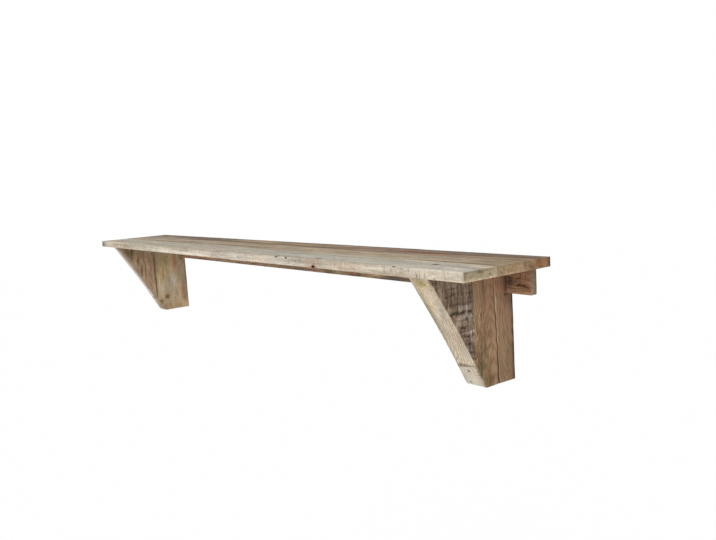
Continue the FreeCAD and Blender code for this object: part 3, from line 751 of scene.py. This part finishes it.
def make_rail():
    """The batten under the rear board, with its countersunk holes for the wall screws.

    Near a hole, square rings of grid lines become circles, so that its rims are round.
    """
    node = "wall_rail"
    low, high = box(node)
    hole, sink, window, bore = 3 * MM, 6 * MM, 10 * MM, 12.5 * MM
    pitch = 400 * MM
    centres = [(step - 1.5) * pitch for step in range(4)]
    rings = np.array([0, 0.8, 1.6, 2.4, 2.9, 3, 3.6, 4.4, 5.2, 5.8, 6, 6.6, 7.6, 8.8, 10]) * MM
    points, faces = block(low, high, (4 * MM, 3 * MM, 2.5 * MM), 2 * MM, around(centres, rings),
                          around([0], rings))
    flat = points.copy()
    front = points[:, 1] < low[1] + 1e-6
    pit = np.zeros(len(points))
    sunk = np.zeros(len(points))
    for x in centres:
        across, up = flat[:, 0] - x, flat[:, 2]
        ring = np.maximum(abs(across), abs(up))
        near = front & (ring < window)
        inside = ring < hole - 0.05 * MM
        length = np.maximum(np.hypot(across, up), 1e-9)
        turned = ease(ring, window, sink)
        points[near, 0] = (x + across * (1 - turned) + across / length * ring * turned)[near]
        points[near, 2] = (up * (1 - turned) + up / length * ring * turned)[near]
        sunk = np.where(near, np.clip(sink - ring, 0, sink - hole) + bore * inside, sunk)
        pit = np.where(near & inside, 0.8, pit)
    wear = np.clip(0.8 + 0.5 * drift(points, 60 * MM, 51), 0.3, 1.6)
    under = ease(points[:, 2], -10 * MM, -25 * MM)
    hollow = 0.1 * MM + 0.08 * MM * drift(points, (200 * MM, 20 * MM, 12 * MM), 52)
    points = soften(points, low, high, (0.7 + 0.7 * under) * wear * MM, np.clip(hollow, 0.02 * MM, 0.4 * MM))
    carve(points, 1, low[1], sunk)
    corner = (0, low[1], 0)
    colours = ((192, 150, 118), (110, 84, 64), (148, 130, 110), (166, 136, 104), (112, 88, 68))
    shade = plank_shade(points, low, high, colours, corner, RAIL_PATCHES, 53)
    worn = np.exp(-nearest_arris(points, low, high) / (2 * MM))
    sawn = np.exp(-to_ends(points[:, 0], low, high) / (0.8 * MM))
    material = timber(
        "rail_timber", "x", corner, (-0.03, 0.012), (3.2 * MM, (0.68, 0.56, 0.44), 0.6),
        ((0.68, 0.61, 0.55), (1.3, 1.26, 1.2), 0.8, 0.8), (16, 4), stretch=12, seed=9.0,
        wane=((160, 128, 92), 0.3), cloudy=(0.8, 1.2), stains=RAIL_STAINS,
        knots=[(829, 0, 3, 1.8, 3, 0.7), (833.5, 0, -11, 2.4, 2.6, 0.75), (846, 0, -11, 2.6, 1.2, 0.7),
               (-310, 0, -9, 7, 1.5, 0.8)])
    make_piece(node, "rail_wood", material, points, faces, shade=shade, worn=worn, sawn=sawn, pit=pit)


# The brackets. Rows are in millimetres: x from a bracket's right side, y from the wall, z from the
# middle of the rail. Patches and stains go from the seen side to the sawn front and the hidden sides.


RIGHT_POST_PATCHES = [
    (0, -91.5, 8, 4, 2.4, 26, (66, 44, 30), 0.95),
    (0, -66, 12, 6, 26, 30, (190, 144, 116), 0.8),
    (0, -36, -10, 6, 14, 44, (184, 138, 110), 0.75),
    (0, -112, 0, 6, 12, 50, (180, 148, 112), 0.7),
    (0, -75, -40, 6, 8, 30, (176, 134, 108), 0.7),
    (0, -54.6, -48, 6, 1.8, 26, (214, 188, 152), 0.95),
    (0, -52.4, -100, 6, 1.8, 30, (206, 176, 140), 0.8),
    (0, -62, -120, 6, 2, 30, (182, 152, 118), 0.6),
    (0, -110, -70, 6, 9, 60, (168, 142, 106), 0.75),
    (0, -103, -150, 6, 15, 50, (112, 94, 66), 0.75),
    (0, -28, -170, 6, 24, 40, (134, 108, 84), 0.6),
    (0, -84, -200, 6, 16, 26, (96, 82, 56), 0.75),
    (0, -106, -178, 6, 9, 16, (84, 84, 52), 0.85),
    (0, -25, -160, 6, 16, 50, (146, 122, 96), 0.5),
    (0, -32, -115, 6, 5, 12, (116, 90, 66), 0.6),
    # Painted shade: near black along the rear arris, where the post meets the wall.
    (0, 1.5, -120, 14, 9, 300, (22, 18, 18), 1),
    (0, -20, -26.5, 6, 5, 2.6, (186, 156, 124), 0.85),
    # Painted shade: a dark strip beside the rail's housing in place of the shadowed rail front, and a darker
    # spot in its lower corner.
    (0, -20, 0, 6, 7, 32, (94, 70, 57), 0.85),
    (0, -23, -31.5, 6, 4, 2.4, (52, 36, 26), 0.95),
    (-27, -113, -180, 22, 9, 9, (210, 202, 186), 0.6),
    (-55, -105, -190, 2, 30, 50, (150, 142, 122), 0.8),
]
RIGHT_WEDGE_PATCHES = [
    (0, -233.5, 17, 6, 14, 12, (84, 62, 50), 0.85),
    (0, -214, 5, 6, 3.5, 14, (166, 146, 126), 0.8),
    (0, -165, 26, 6, 50, 5, (104, 90, 70), 0.8),
    (0, -170, 6, 6, 24, 12, (160, 140, 122), 0.6),
    (0, -190, -8, 6, 5, 16, (122, 92, 80), 0.5),
    (0, -150, -39, 6, 34, 4.5, (184, 170, 154), 0.9),
    (0, -143, -60, 6, 18, 7, (184, 174, 160), 0.9),
    (0, -141.5, -63.5, 6, 4, 5, (74, 60, 50), 0.8),
    (0, -130, -91, 6, 14, 4, (178, 166, 152), 0.85),
    (0, -125, -108, 6, 9, 3.4, (172, 162, 148), 0.85),
    (0, -128, 0, 6, 9, 24, (138, 122, 106), 0.6),
    (0, -124, -128, 6, 8, 13, (82, 78, 62), 0.75),
    (-30, -234, 17, 18, 10, 12, (190, 166, 112), 0.85),
    (-9, -232, 10, 8, 8, 14, (196, 174, 134), 0.7),
    (-33.5, -204.5, -31, 2.6, 8, 6, (226, 192, 122), 0.9),
    (-36.5, -208, -26, 1.6, 12, 18, (168, 138, 90), 0.8),
    (-17, -215, -12, 9, 12, 16, (216, 192, 176), 0.8),
    (-45, -200, -30, 6, 26, 34, (196, 178, 140), 0.7),
    (-53, -190, -50, 2.4, 100, 100, (150, 138, 112), 0.7),
    (-20, -158, -104, 10, 16, 24, (218, 194, 172), 0.7),
    (-12, -170, -80, 10, 30, 40, (214, 196, 172), 0.5),
    (-55, -180, -70, 2, 80, 90, (146, 140, 120), 0.8),
]
# Colour at the head of the cut, and lines down it.
RIGHT_WEDGE_STAINS = [
    (-19.5, -233.5, 16, 3.4, 6, 3, (0.62, 0.58, 0.4)),
    (-8, -228.5, 5, 3, 6, 3.4, (0.66, 0.62, 0.48)),
    (-24.5, -236, 20, 5, 6, 2, (0.8, 0.74, 0.58)),
    (-47.5, -170, -80, 1.5, 120, 85, (0.72, 0.69, 0.62)),
    (-39, -140, -132, 1.1, 60, 34, (0.76, 0.73, 0.66)),
    (-33, -150, -118, 1, 60, 40, (0.8, 0.77, 0.7)),
    (-26, -140, -136, 1, 60, 26, (0.8, 0.76, 0.7)),
]
LEFT_POST_PATCHES = [
    (0, -45, -46, 6, 9, 40, (184, 128, 94), 0.75),
    (0, -15, -34, 6, 12, 9, (128, 96, 68), 0.8),
    (0, -17, -146, 6, 12, 26, (152, 108, 86), 0.92),
    (0, -18, -176, 6, 12, 8, (128, 100, 72), 0.6),
    (0, -82, -164, 6, 12, 12, (142, 112, 82), 0.6),
    (0, -106, -180, 6, 10, 9, (116, 98, 66), 0.7),
    (0, -96, -134, 6, 13, 14, (186, 178, 162), 0.8),
    (0, -68, -134, 6, 20, 22, (180, 170, 148), 0.6),
    (0, -57, -104, 6, 15, 28, (184, 180, 164), 0.8),
    (0, -30, -112, 6, 10, 30, (166, 150, 118), 0.6),
    (0, -109, -104, 6, 5, 40, (196, 178, 138), 0.7),
    (0, -5, -95, 6, 9, 22, (160, 150, 104), 0.6),
    (0, -84, -55, 6, 22, 50, (178, 156, 112), 0.7),
    # Painted shade: darker along the rear arris, where the post meets the wall.
    (0, 0, -100, 9, 5, 300, (96, 82, 72), 0.85),
    (0, -50, -205, 6, 50, 14, (158, 126, 92), 0.6),
    (0, -12, -185, 6, 14, 12, (140, 112, 86), 0.6),
    (0, -118, -60, 6, 1.6, 140, (84, 66, 46), 0.7),
    (-20, -100, -205, 40, 24, 22, (154, 132, 102), 0.8),
]
LEFT_WEDGE_PATCHES = [
    (0, -210, 8, 6, 24, 22, (118, 104, 76), 0.8),
    (0, -180, -22, 6, 3, 24, (98, 80, 56), 0.8),
    (0, -169.5, -63, 6, 3, 22, (92, 72, 50), 0.85),
    (0, -203, -8, 6, 4, 14, (104, 88, 56), 0.8),
    (0, -159, -14, 6, 5, 14, (180, 154, 122), 0.7),
    (0, -195, 4, 6, 2.4, 14, (170, 150, 118), 0.7),
    (0, -135, -45, 6, 10, 50, (162, 126, 104), 0.7),
    (0, -155, -60, 6, 2.4, 34, (96, 74, 54), 0.7),
    (0, -121, -60, 6, 2, 140, (78, 60, 42), 0.8),
    (-4, -150, -130, 8, 30, 40, (168, 146, 118), 0.7),
]
# The right post's drying crack: y, z and width at five heights.
CRACK = MM * np.array(
    [(-61.5, 4, 0), (-60, -16, 1.6), (-55.5, -80, 2.4), (-53.7, -136, 3), (-52.2, -216, 4.2)])
# Where the saw bit into the right wedge: height, half height and depth from 0 to 1.
BLADE_MARKS = [
    (-49, 4, 1.0), (-79, 4.6, 1.0), (-87, 2, 0.6), (-98.5, 3.8, 0.95), (-107, 2, 0.6), (-115, 4.4, 1.0),
    (-124, 2, 0.6), (-134, 3.4, 0.9), (-31, 3, 0.55), (-147, 2.6, 0.7), (-64, 2, 0.5), (-12, 2, 0.45),
    (2, 1.6, 0.4), (-21, 1.4, 0.35), (-158, 1.6, 0.5),
]


def saw_circle():
    """Centre (y, z) and radius of the hollow diagonal, an arc from the wedge's head to the post's foot."""
    head_low, head_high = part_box("right_bracket_wedge")
    foot_low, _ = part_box("right_bracket_post")
    head, foot = np.array([head_low.y, head_high.z]), np.array([-FOOT_DEPTH, foot_low.z])
    chord = foot - head
    half = np.linalg.norm(chord) / 2
    radius = (half ** 2 + CUT_BOW ** 2) / (2 * CUT_BOW)
    into_room = np.array([chord[1], -chord[0]]) / (2 * half)
    return (head + foot) / 2 + into_room * (radius - CUT_BOW), radius


def saw_line(heights):
    """The y at which the hollow diagonal lies at given heights."""
    centre, radius = saw_circle()
    return centre[0] + np.sqrt(radius ** 2 - (heights - centre[1]) ** 2)


def saw_height(depth):
    """The height at which the hollow diagonal lies at a given y."""
    centre, radius = saw_circle()
    return centre[1] + np.sqrt(radius ** 2 - (depth - centre[0]) ** 2)


def joint_face(x, z, side, middle):
    """The joint's y: a little further out at the head, and on the hidden side further back, as planed.

    side is the x of the bracket's right side and middle the CAD's plane of the joint.
    """
    lean = JOINT_LEAN * np.clip((z + 170 * MM) / (200 * MM), 0, 1)
    return middle - lean + JOINT_TWIST * (side - x) / BRACKET_WIDTH


def bracket_grid(low, high, columns, step, extra_height=()):
    """Grid places of a bracket's piece: x from its box, a column of its depth, and z."""
    heights = grid_lines(low[2], high[2], step, 2 * MM, extra_height)
    across = grid_lines(low[0], high[0], 2.5 * MM, 2.2 * MM)
    places, faces = block_skin((len(across), len(columns), len(heights)))
    return across[places[:, 0]], columns[places[:, 1]], heights[places[:, 2]], faces


def worn_arris(points, seed):
    """Radius of a bracket's arrises, from 0.3 to 1.7 of the usual one by chance."""
    return WORN_ARRIS * np.clip(0.8 + 0.5 * drift(points, 45 * MM, seed), 0.3, 1.7)


def corners(x, *bounds):
    """One corner for each point, from its bounds along x, y and z. Beyond a bound of 1 m is no arris."""
    return np.stack([np.full(len(x), 1.0) * bound for bound in bounds], axis=1)


def bracket_shade(points, low, high, depth, joint, colours, patches, stain, seed):
    """A bracket piece's colours: of its sawn front, sides, foot and back, then patches and stains.

    depth is the distance behind the sawn front. stain is (from, to, colour, strength): colour soaked
    into the sawn front, none at the first distance from its right side and full from the second on.
    """
    near = (depth, to_ends(points[:, 0], low, high), points[:, 2] - low[2], high[1] - points[:, 1])
    shade = side_colours(near, 0.45 * MM, colours)
    shade = dye_with_painted_light_and_shade(points, shade, (high[0], 0, 0), patches, seed)
    start, full, colour, strength = stain
    wander = 3 * MM * drift(points, (400 * MM, 26 * MM, 40 * MM), 7)
    ramp = ease((points[:, 0] + wander - high[0] + start * MM) / ((start - full) * MM), 0, 1)
    waver = np.clip(1.1 + 0.35 * drift(points, 16 * MM, 7), 0, 1)
    shade = tint(shade, strength * ramp * waver * fade(depth, 1.5 * MM), colour)
    # The line where the joint comes out on the sawn front.
    line = np.exp(-((points[:, 1] - joint) / (0.7 * MM)) ** 2) * fade(depth, 1.2 * MM)
    return tint(shade, np.clip(line * (0.32 + 0.2 * drift(points, 12 * MM, 9)), 0, 1), (112, 96, 76))


def make_wedge(side, slot, colours, patches, wood, seed, stain, marks=()):
    """The sawn-off piece in front of a post. Its front is the hollow diagonal, pale from the saw."""
    node = f"{side}_bracket_wedge"
    low, high = box(node)
    depth_at_head = 123 * MM
    columns = grid_lines(0, depth_at_head, 1.6 * MM, 2 * MM) / depth_at_head
    x, share, z, faces = bracket_grid(low, high, columns, 1.3 * MM)
    tip = saw_height(joint_face(x, low[2], high[0], high[1]))
    z = high[2] - (high[2] - z) * (high[2] - tip) / (high[2] - low[2])
    joint = joint_face(x, z, high[0], high[1])
    front = np.minimum(saw_line(z), joint - 0.3 * MM)
    points = np.stack([x, front + share * (joint - front), z], axis=1)
    radius = np.minimum(worn_arris(points, seed), 0.42 * (joint - front))
    relief = 0.12 * MM + 0.08 * MM * drift(points, (20 * MM, 20 * MM, 90 * MM), seed + 1)
    bitten = blade_marks(points, high[1], marks, seed + 2)
    relief = relief + np.where(to_ends(x, low, high) < 1 * MM, 0.6 * MM * bitten, 0)
    relief = np.clip(relief, 0.02 * MM, 0.9 * MM)
    points = soften(points, corners(x, low[0], front, -1), corners(x, high[0], 1, 1), radius, relief)
    points = soften(points, corners(x, low[0], -1, -1), corners(x, high[0], joint, 1), JOINT_ARRIS)
    depth = points[:, 1] - front
    shade = bracket_shade(points, low, high, depth, joint, colours, patches, stain, seed + 3)
    shade = tint(shade, np.minimum(bitten, 1) * ease(depth, 1 * MM, 3 * MM), (68, 52, 41))
    from_arris = np.minimum(to_ends(x, low, high) + np.maximum(depth, 0), 20 * MM)
    make_piece(node, slot, timber(along="z", corner=(high[0], 0, 0), **wood), points, faces,
               shade=shade, worn=np.exp(-from_arris / (2 * MM)), clean=fade(depth, 1 * MM))


def blade_marks(points, joint, marks, seed):
    """How deep the saw bit, 0 to 1: each mark is a wavering exp(-distance squared) round its height.

    The marks are deepest beside the joint and fade towards the head, with gaps by chance.
    """
    waver = 1.6 * MM * drift(points, (400 * MM, 34 * MM, 60 * MM), seed)
    bitten = np.zeros(len(points))
    for n, (height, half, depth) in enumerate(marks):
        gaps = ease(drift(points, (400 * MM, 22 * MM, 300 * MM), seed + 3 + n), -0.75, 0.1)
        away = (points[:, 2] - height * MM + waver) / (half * MM)
        bitten = np.maximum(bitten, depth * gaps * np.exp(-away ** 2))
    return bitten * ease(points[:, 1], joint - 112 * MM, joint - 62 * MM)


def crack_line(z):
    """The crack's y at a height: straight lines between its points, and a small waver."""
    return np.interp(z, CRACK[::-1, 1], CRACK[::-1, 0]) + 0.5 * MM * np.sin(z * TAU / (37 * MM))


def make_post(side, slot, colours, patches, wood, seed, stain, cracked=False, nails=()):
    """The upright against the wall, with the housing for the rail and the foot of the diagonal.

    A column at the share c of the depth lies at front + c * (back - front), and the back steps in at
    the housing. Beside a crack, columns follow its line instead. A nail hole is (x, z, size) in the
    sawn front.
    """
    node = f"{side}_bracket_post"
    low, high = box(node)
    rail_low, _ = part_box("wall_rail")
    play, nail_depth, crack_depth, crack_reach = 1.2 * MM, 3 * MM, 9 * MM, 12 * MM
    housing = rail_low.z - play
    head = CRACK[0, 0]
    lips = np.array([0, 0.35, 0.7, 1.05, 1.4, 1.9, 2.6, 3.6, 5]) * MM
    columns = grid_lines(low[1], high[1], 2 * MM, 2 * MM, around([head], lips) if cracked else ())
    x, column, z, faces = bracket_grid(low, high, columns, 1.8 * MM,
                                       (housing - 0.5 * MM, housing, housing + 0.6 * MM))
    joint = joint_face(x, z, high[0], low[1])
    front = np.maximum(saw_line(z), joint)
    above = z > housing - 0.1 * MM
    back = np.where(above, rail_low.y, 0.0)
    y = front + (column - low[1]) / (high[1] - low[1]) * (back - front)
    if cracked:
        bend = crack_line(z) - head
        reach = np.clip(1 - abs(column - head) / (40 * MM), 0, 1)
        near = ease(abs(column - head), 14 * MM, 8 * MM)
        y = y * (1 - near) + (column + bend) * near + bend * reach * (1 - near) * 0.6
    points = np.stack([x, y, z], axis=1)
    radius = worn_arris(points, seed)
    sawn = front > joint + 0.1 * MM
    relief = 0.12 * MM + 0.1 * MM * drift(points, (20 * MM, 20 * MM, 90 * MM), seed + 1)
    relief = np.clip(relief, 0.02 * MM, 0.5 * MM)
    points = soften(points, corners(x, low[0], np.where(sawn, front, -1), low[2]),
                    corners(x, high[0], np.where(above, 1, back), 1), radius, relief)
    points = soften(points, corners(x, low[0], np.where(sawn, -1, front), -1), corners(x, high[0], 1, 1),
                    JOINT_ARRIS)
    pit = np.zeros(len(x))
    for nail in nails:
        nail_x, nail_z, size = np.array(nail) * MM
        off = np.hypot(points[:, 0] - high[0] - nail_x, (points[:, 2] - nail_z) * 1.2) / size
        near = (points[:, 1] - front < nail_depth) & sawn
        points[:, 1] += np.where(near, nail_depth * ease(off, 1.1, 0.6), 0)
        pit = np.maximum(pit, ease(off, 1.35, 0.7) * near * 0.85)
    if cracked:
        width = np.interp(z, CRACK[::-1, 1], CRACK[::-1, 2], right=0)
        off = abs(points[:, 1] - crack_line(z))
        depth = crack_depth * np.clip(1 - off / np.maximum(width / 2, 1e-6), 0, 1) * (width > 0)
        near = abs(points[:, 0] - high[0]) < crack_reach
        carve(points, 0, high[0], np.where(near, depth, 0))
        rim = np.maximum(width, 0.1 * MM)
        pit = np.maximum(pit, ease(off, rim * 0.62, rim * 0.3) * near * (width > 0))
    depth = np.where(sawn, np.maximum(points[:, 1] - front, 0), 1)
    shade = bracket_shade(points, low, high, depth, joint, colours, patches, stain, seed + 3)
    worn = np.exp(-np.minimum(to_ends(x, low, high) + depth, 20 * MM) / (2 * MM))
    worn *= ease(points[:, 2], low[2] - 20 * MM, low[2] + 75 * MM)
    foot = np.exp(-(points[:, 2] - low[2]) / (0.8 * MM))
    make_piece(node, slot, timber(along="z", corner=(high[0], 0, 0), **wood), points, faces,
               shade=shade, worn=worn, clean=fade(depth, 1 * MM), sawn=foot, pit=pit)


def make_brackets():
    """Both brackets: posts against the wall, wedges in front of them."""
    make_post(
        "right", "post_brown", ((216, 208, 193), (151, 122, 95), (128, 106, 80), (130, 108, 84)),
        RIGHT_POST_PATCHES,
        dict(name="right_post_timber", heart=(0.745, -0.070), rings=(4.2 * MM, (0.7, 0.6, 0.48), 0.85),
             bands=((0.76, 0.7, 0.64), (1.18, 1.15, 1.1), 0.55, 0.6), widths=(16, 4), stretch=12, seed=12.0,
             speck=0.1, wane=((184, 158, 122), 0.45), taper=0.16,
             flecks=(0.36, (0, -100, -130), (20, 34, 90))),
        seed=61, stain=(51, 55, (142, 134, 112), 0.7), cracked=True,
        nails=[(-30, -181.5, 3.4), (-40, -209.5, 2.4)],
    )
    make_wedge(
        "right", "wedge_rough", ((207, 194, 173), (146, 126, 108), (150, 130, 104), (126, 110, 94)),
        RIGHT_WEDGE_PATCHES,
        dict(name="right_wedge_timber", heart=(0.69, -0.19), rings=(5.6 * MM, (0.64, 0.56, 0.44), 0.85),
             bands=((0.54, 0.5, 0.46), (1.38, 1.37, 1.34), 0.6, 0.85), widths=(9, 3.4), stretch=6, seed=15.0,
             speck=0.36, saw=1.0, wane=((214, 202, 176), 0.35), checks=0.3, taper=0.0, dust=0.7,
             cloudy=(0.8, 1.2), stains=RIGHT_WEDGE_STAINS),
        seed=71, stain=(51, 55, (142, 134, 112), 0.7), marks=BLADE_MARKS,
    )
    make_post(
        "left", "post_tan", ((196, 186, 166), (184, 162, 130), (128, 106, 80), (130, 112, 90)),
        LEFT_POST_PATCHES,
        dict(name="left_post_timber", heart=(-0.79, -0.05), rings=(7 * MM, (0.84, 0.77, 0.66), 0.2),
             bands=((0.8, 0.74, 0.66), (1.14, 1.13, 1.1), 0.55, 0.15), widths=(20, 6), stretch=2.5, seed=18.0,
             fibre=0.4, wane=((186, 168, 134), 0.2), taper=0.12, cloudy=(0.74, 1.18), dust=0.7, checks=0.25,
             knots=[(0, -81, -166.5, 7, 1.2, 0.66), (0, -107, -182, 6.5, 1.2, 0.42),
                    (-55, -60, -90, 8, 1.4, 0.8)]),
        seed=81, stain=(36, 26, (150, 124, 96), 0.95),
    )
    make_wedge(
        "left", "wedge_brown", ((212, 200, 190), (174, 148, 120), (150, 130, 104), (126, 110, 94)),
        LEFT_WEDGE_PATCHES,
        dict(name="left_wedge_timber", heart=(-0.80, -0.16), rings=(4.2 * MM, (0.68, 0.58, 0.46), 0.5),
             bands=((0.74, 0.68, 0.62), (1.16, 1.14, 1.1), 0.6, 0.5), widths=(11, 3.5), stretch=10, seed=21.0,
             wane=((196, 182, 152), 0.15), taper=0.1, cloudy=(0.8, 1.18), dust=0.6,
             stains=[(0, -120.5, -50, 4, 2.6, 120, (0.42, 0.36, 0.3)),
                     (0, -154.5, -62, 4, 2, 34, (0.8, 0.72, 0.66)),
                     (-30, -165, -90, 2, 100, 55, (0.72, 0.64, 0.58))],
             knots=[(0, -182.5, -25.4, 3.4, 2.2, 0.7), (0, -200, 10, 3, 2, 0.6)]),
        seed=91, stain=(35, 26, (140, 116, 92), 0.95),
    )


# Fixings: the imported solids, with their own finishes.


def dowel_beech():
    """Turned or planed beech: fine rings and fibre along its axis."""
    finish = Finish("dowel_beech", "y")
    pale, dark = paint(196, 162, 118), paint(170, 134, 92)
    fibres = finish.grain(40, 900, 4.0, 0.7)
    colour = finish.blend(finish.step(finish.grain(8, 120, 3.0, 0.55), 0.35, 0.65), pale, dark)
    colour = finish.blend(finish.step(fibres, 0.55, 0.75, 0.0, 0.5), colour, dark)
    return finish.close(Base_Color=colour, Roughness=0.75, Specular_IOR_Level=0.25,
                        Normal=finish.bump(fibres, 0.4, 0.3 * MM))


def screw_steel():
    """Dull zinc-plated steel with fine scratches."""
    finish = Finish("zinc_plated_steel", "z")
    scratches = finish.grain(300, 1500, 3.0, 0.55)
    colour = finish.blend(scratches, paint(150, 148, 140), paint(190, 188, 178))
    return finish.close(Base_Color=colour, Metallic=0.9, Roughness=finish.step(scratches, 0.3, 0.7, 0.3, 0.5))


def pellet_wood():
    """Pellets cut from the boards themselves; the one over the right bracket's front has gone dark."""
    finish = Finish("pellet_wood")
    fibres = finish.noise(finish.stretched((90, 1100, 900)), 4.0, 0.7)
    depth = finish.add("SeparateXYZ", output=1, inputs={0: finish.place})
    dark = finish.step(finish.reach((0.7745, -0.191, 0.044), (0.02, 0.02, 0.02)), 1.0, 0.9)
    colour = finish.blend(finish.step(depth, -0.16, -0.15), paint(170, 162, 144), paint(150, 132, 104))
    colour = finish.blend(finish.step(depth, -0.08, -0.07), colour, paint(96, 80, 70))
    colour = finish.blend(dark, colour, paint(74, 62, 52))
    colour = finish.grey_times(colour, finish.step(fibres, 0.3, 0.72, 0.72, 1.2))
    return finish.close(Base_Color=colour, Roughness=0.78, Specular_IOR_Level=0.25,
                        Normal=finish.bump(fibres, 0.4, 0.3 * MM))


def finish_fixings():
    """Pellets, dowels, tongues and screws keep their solids."""
    beech = dowel_beech()
    finishes = {"pellets": pellet_wood(), "dowels": beech, "tongue": beech, "screw": screw_steel()}
    for name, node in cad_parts.items():
        for word, material in finishes.items():
            if word in name:
                node.data.materials.clear()
                node.data.materials.append(material)
                break


place_camera()
light_world(strength=0.75)
hang_lamp("key", towards=(-0.42, 0.72, -0.55), strength=1.4, spread=25)
lay_floor(height=-2.4, half=24, glow=0.96)
make_top()
make_rail()
make_brackets()
finish_fixings()
bpy.context.scene.view_settings.view_transform = "Standard"
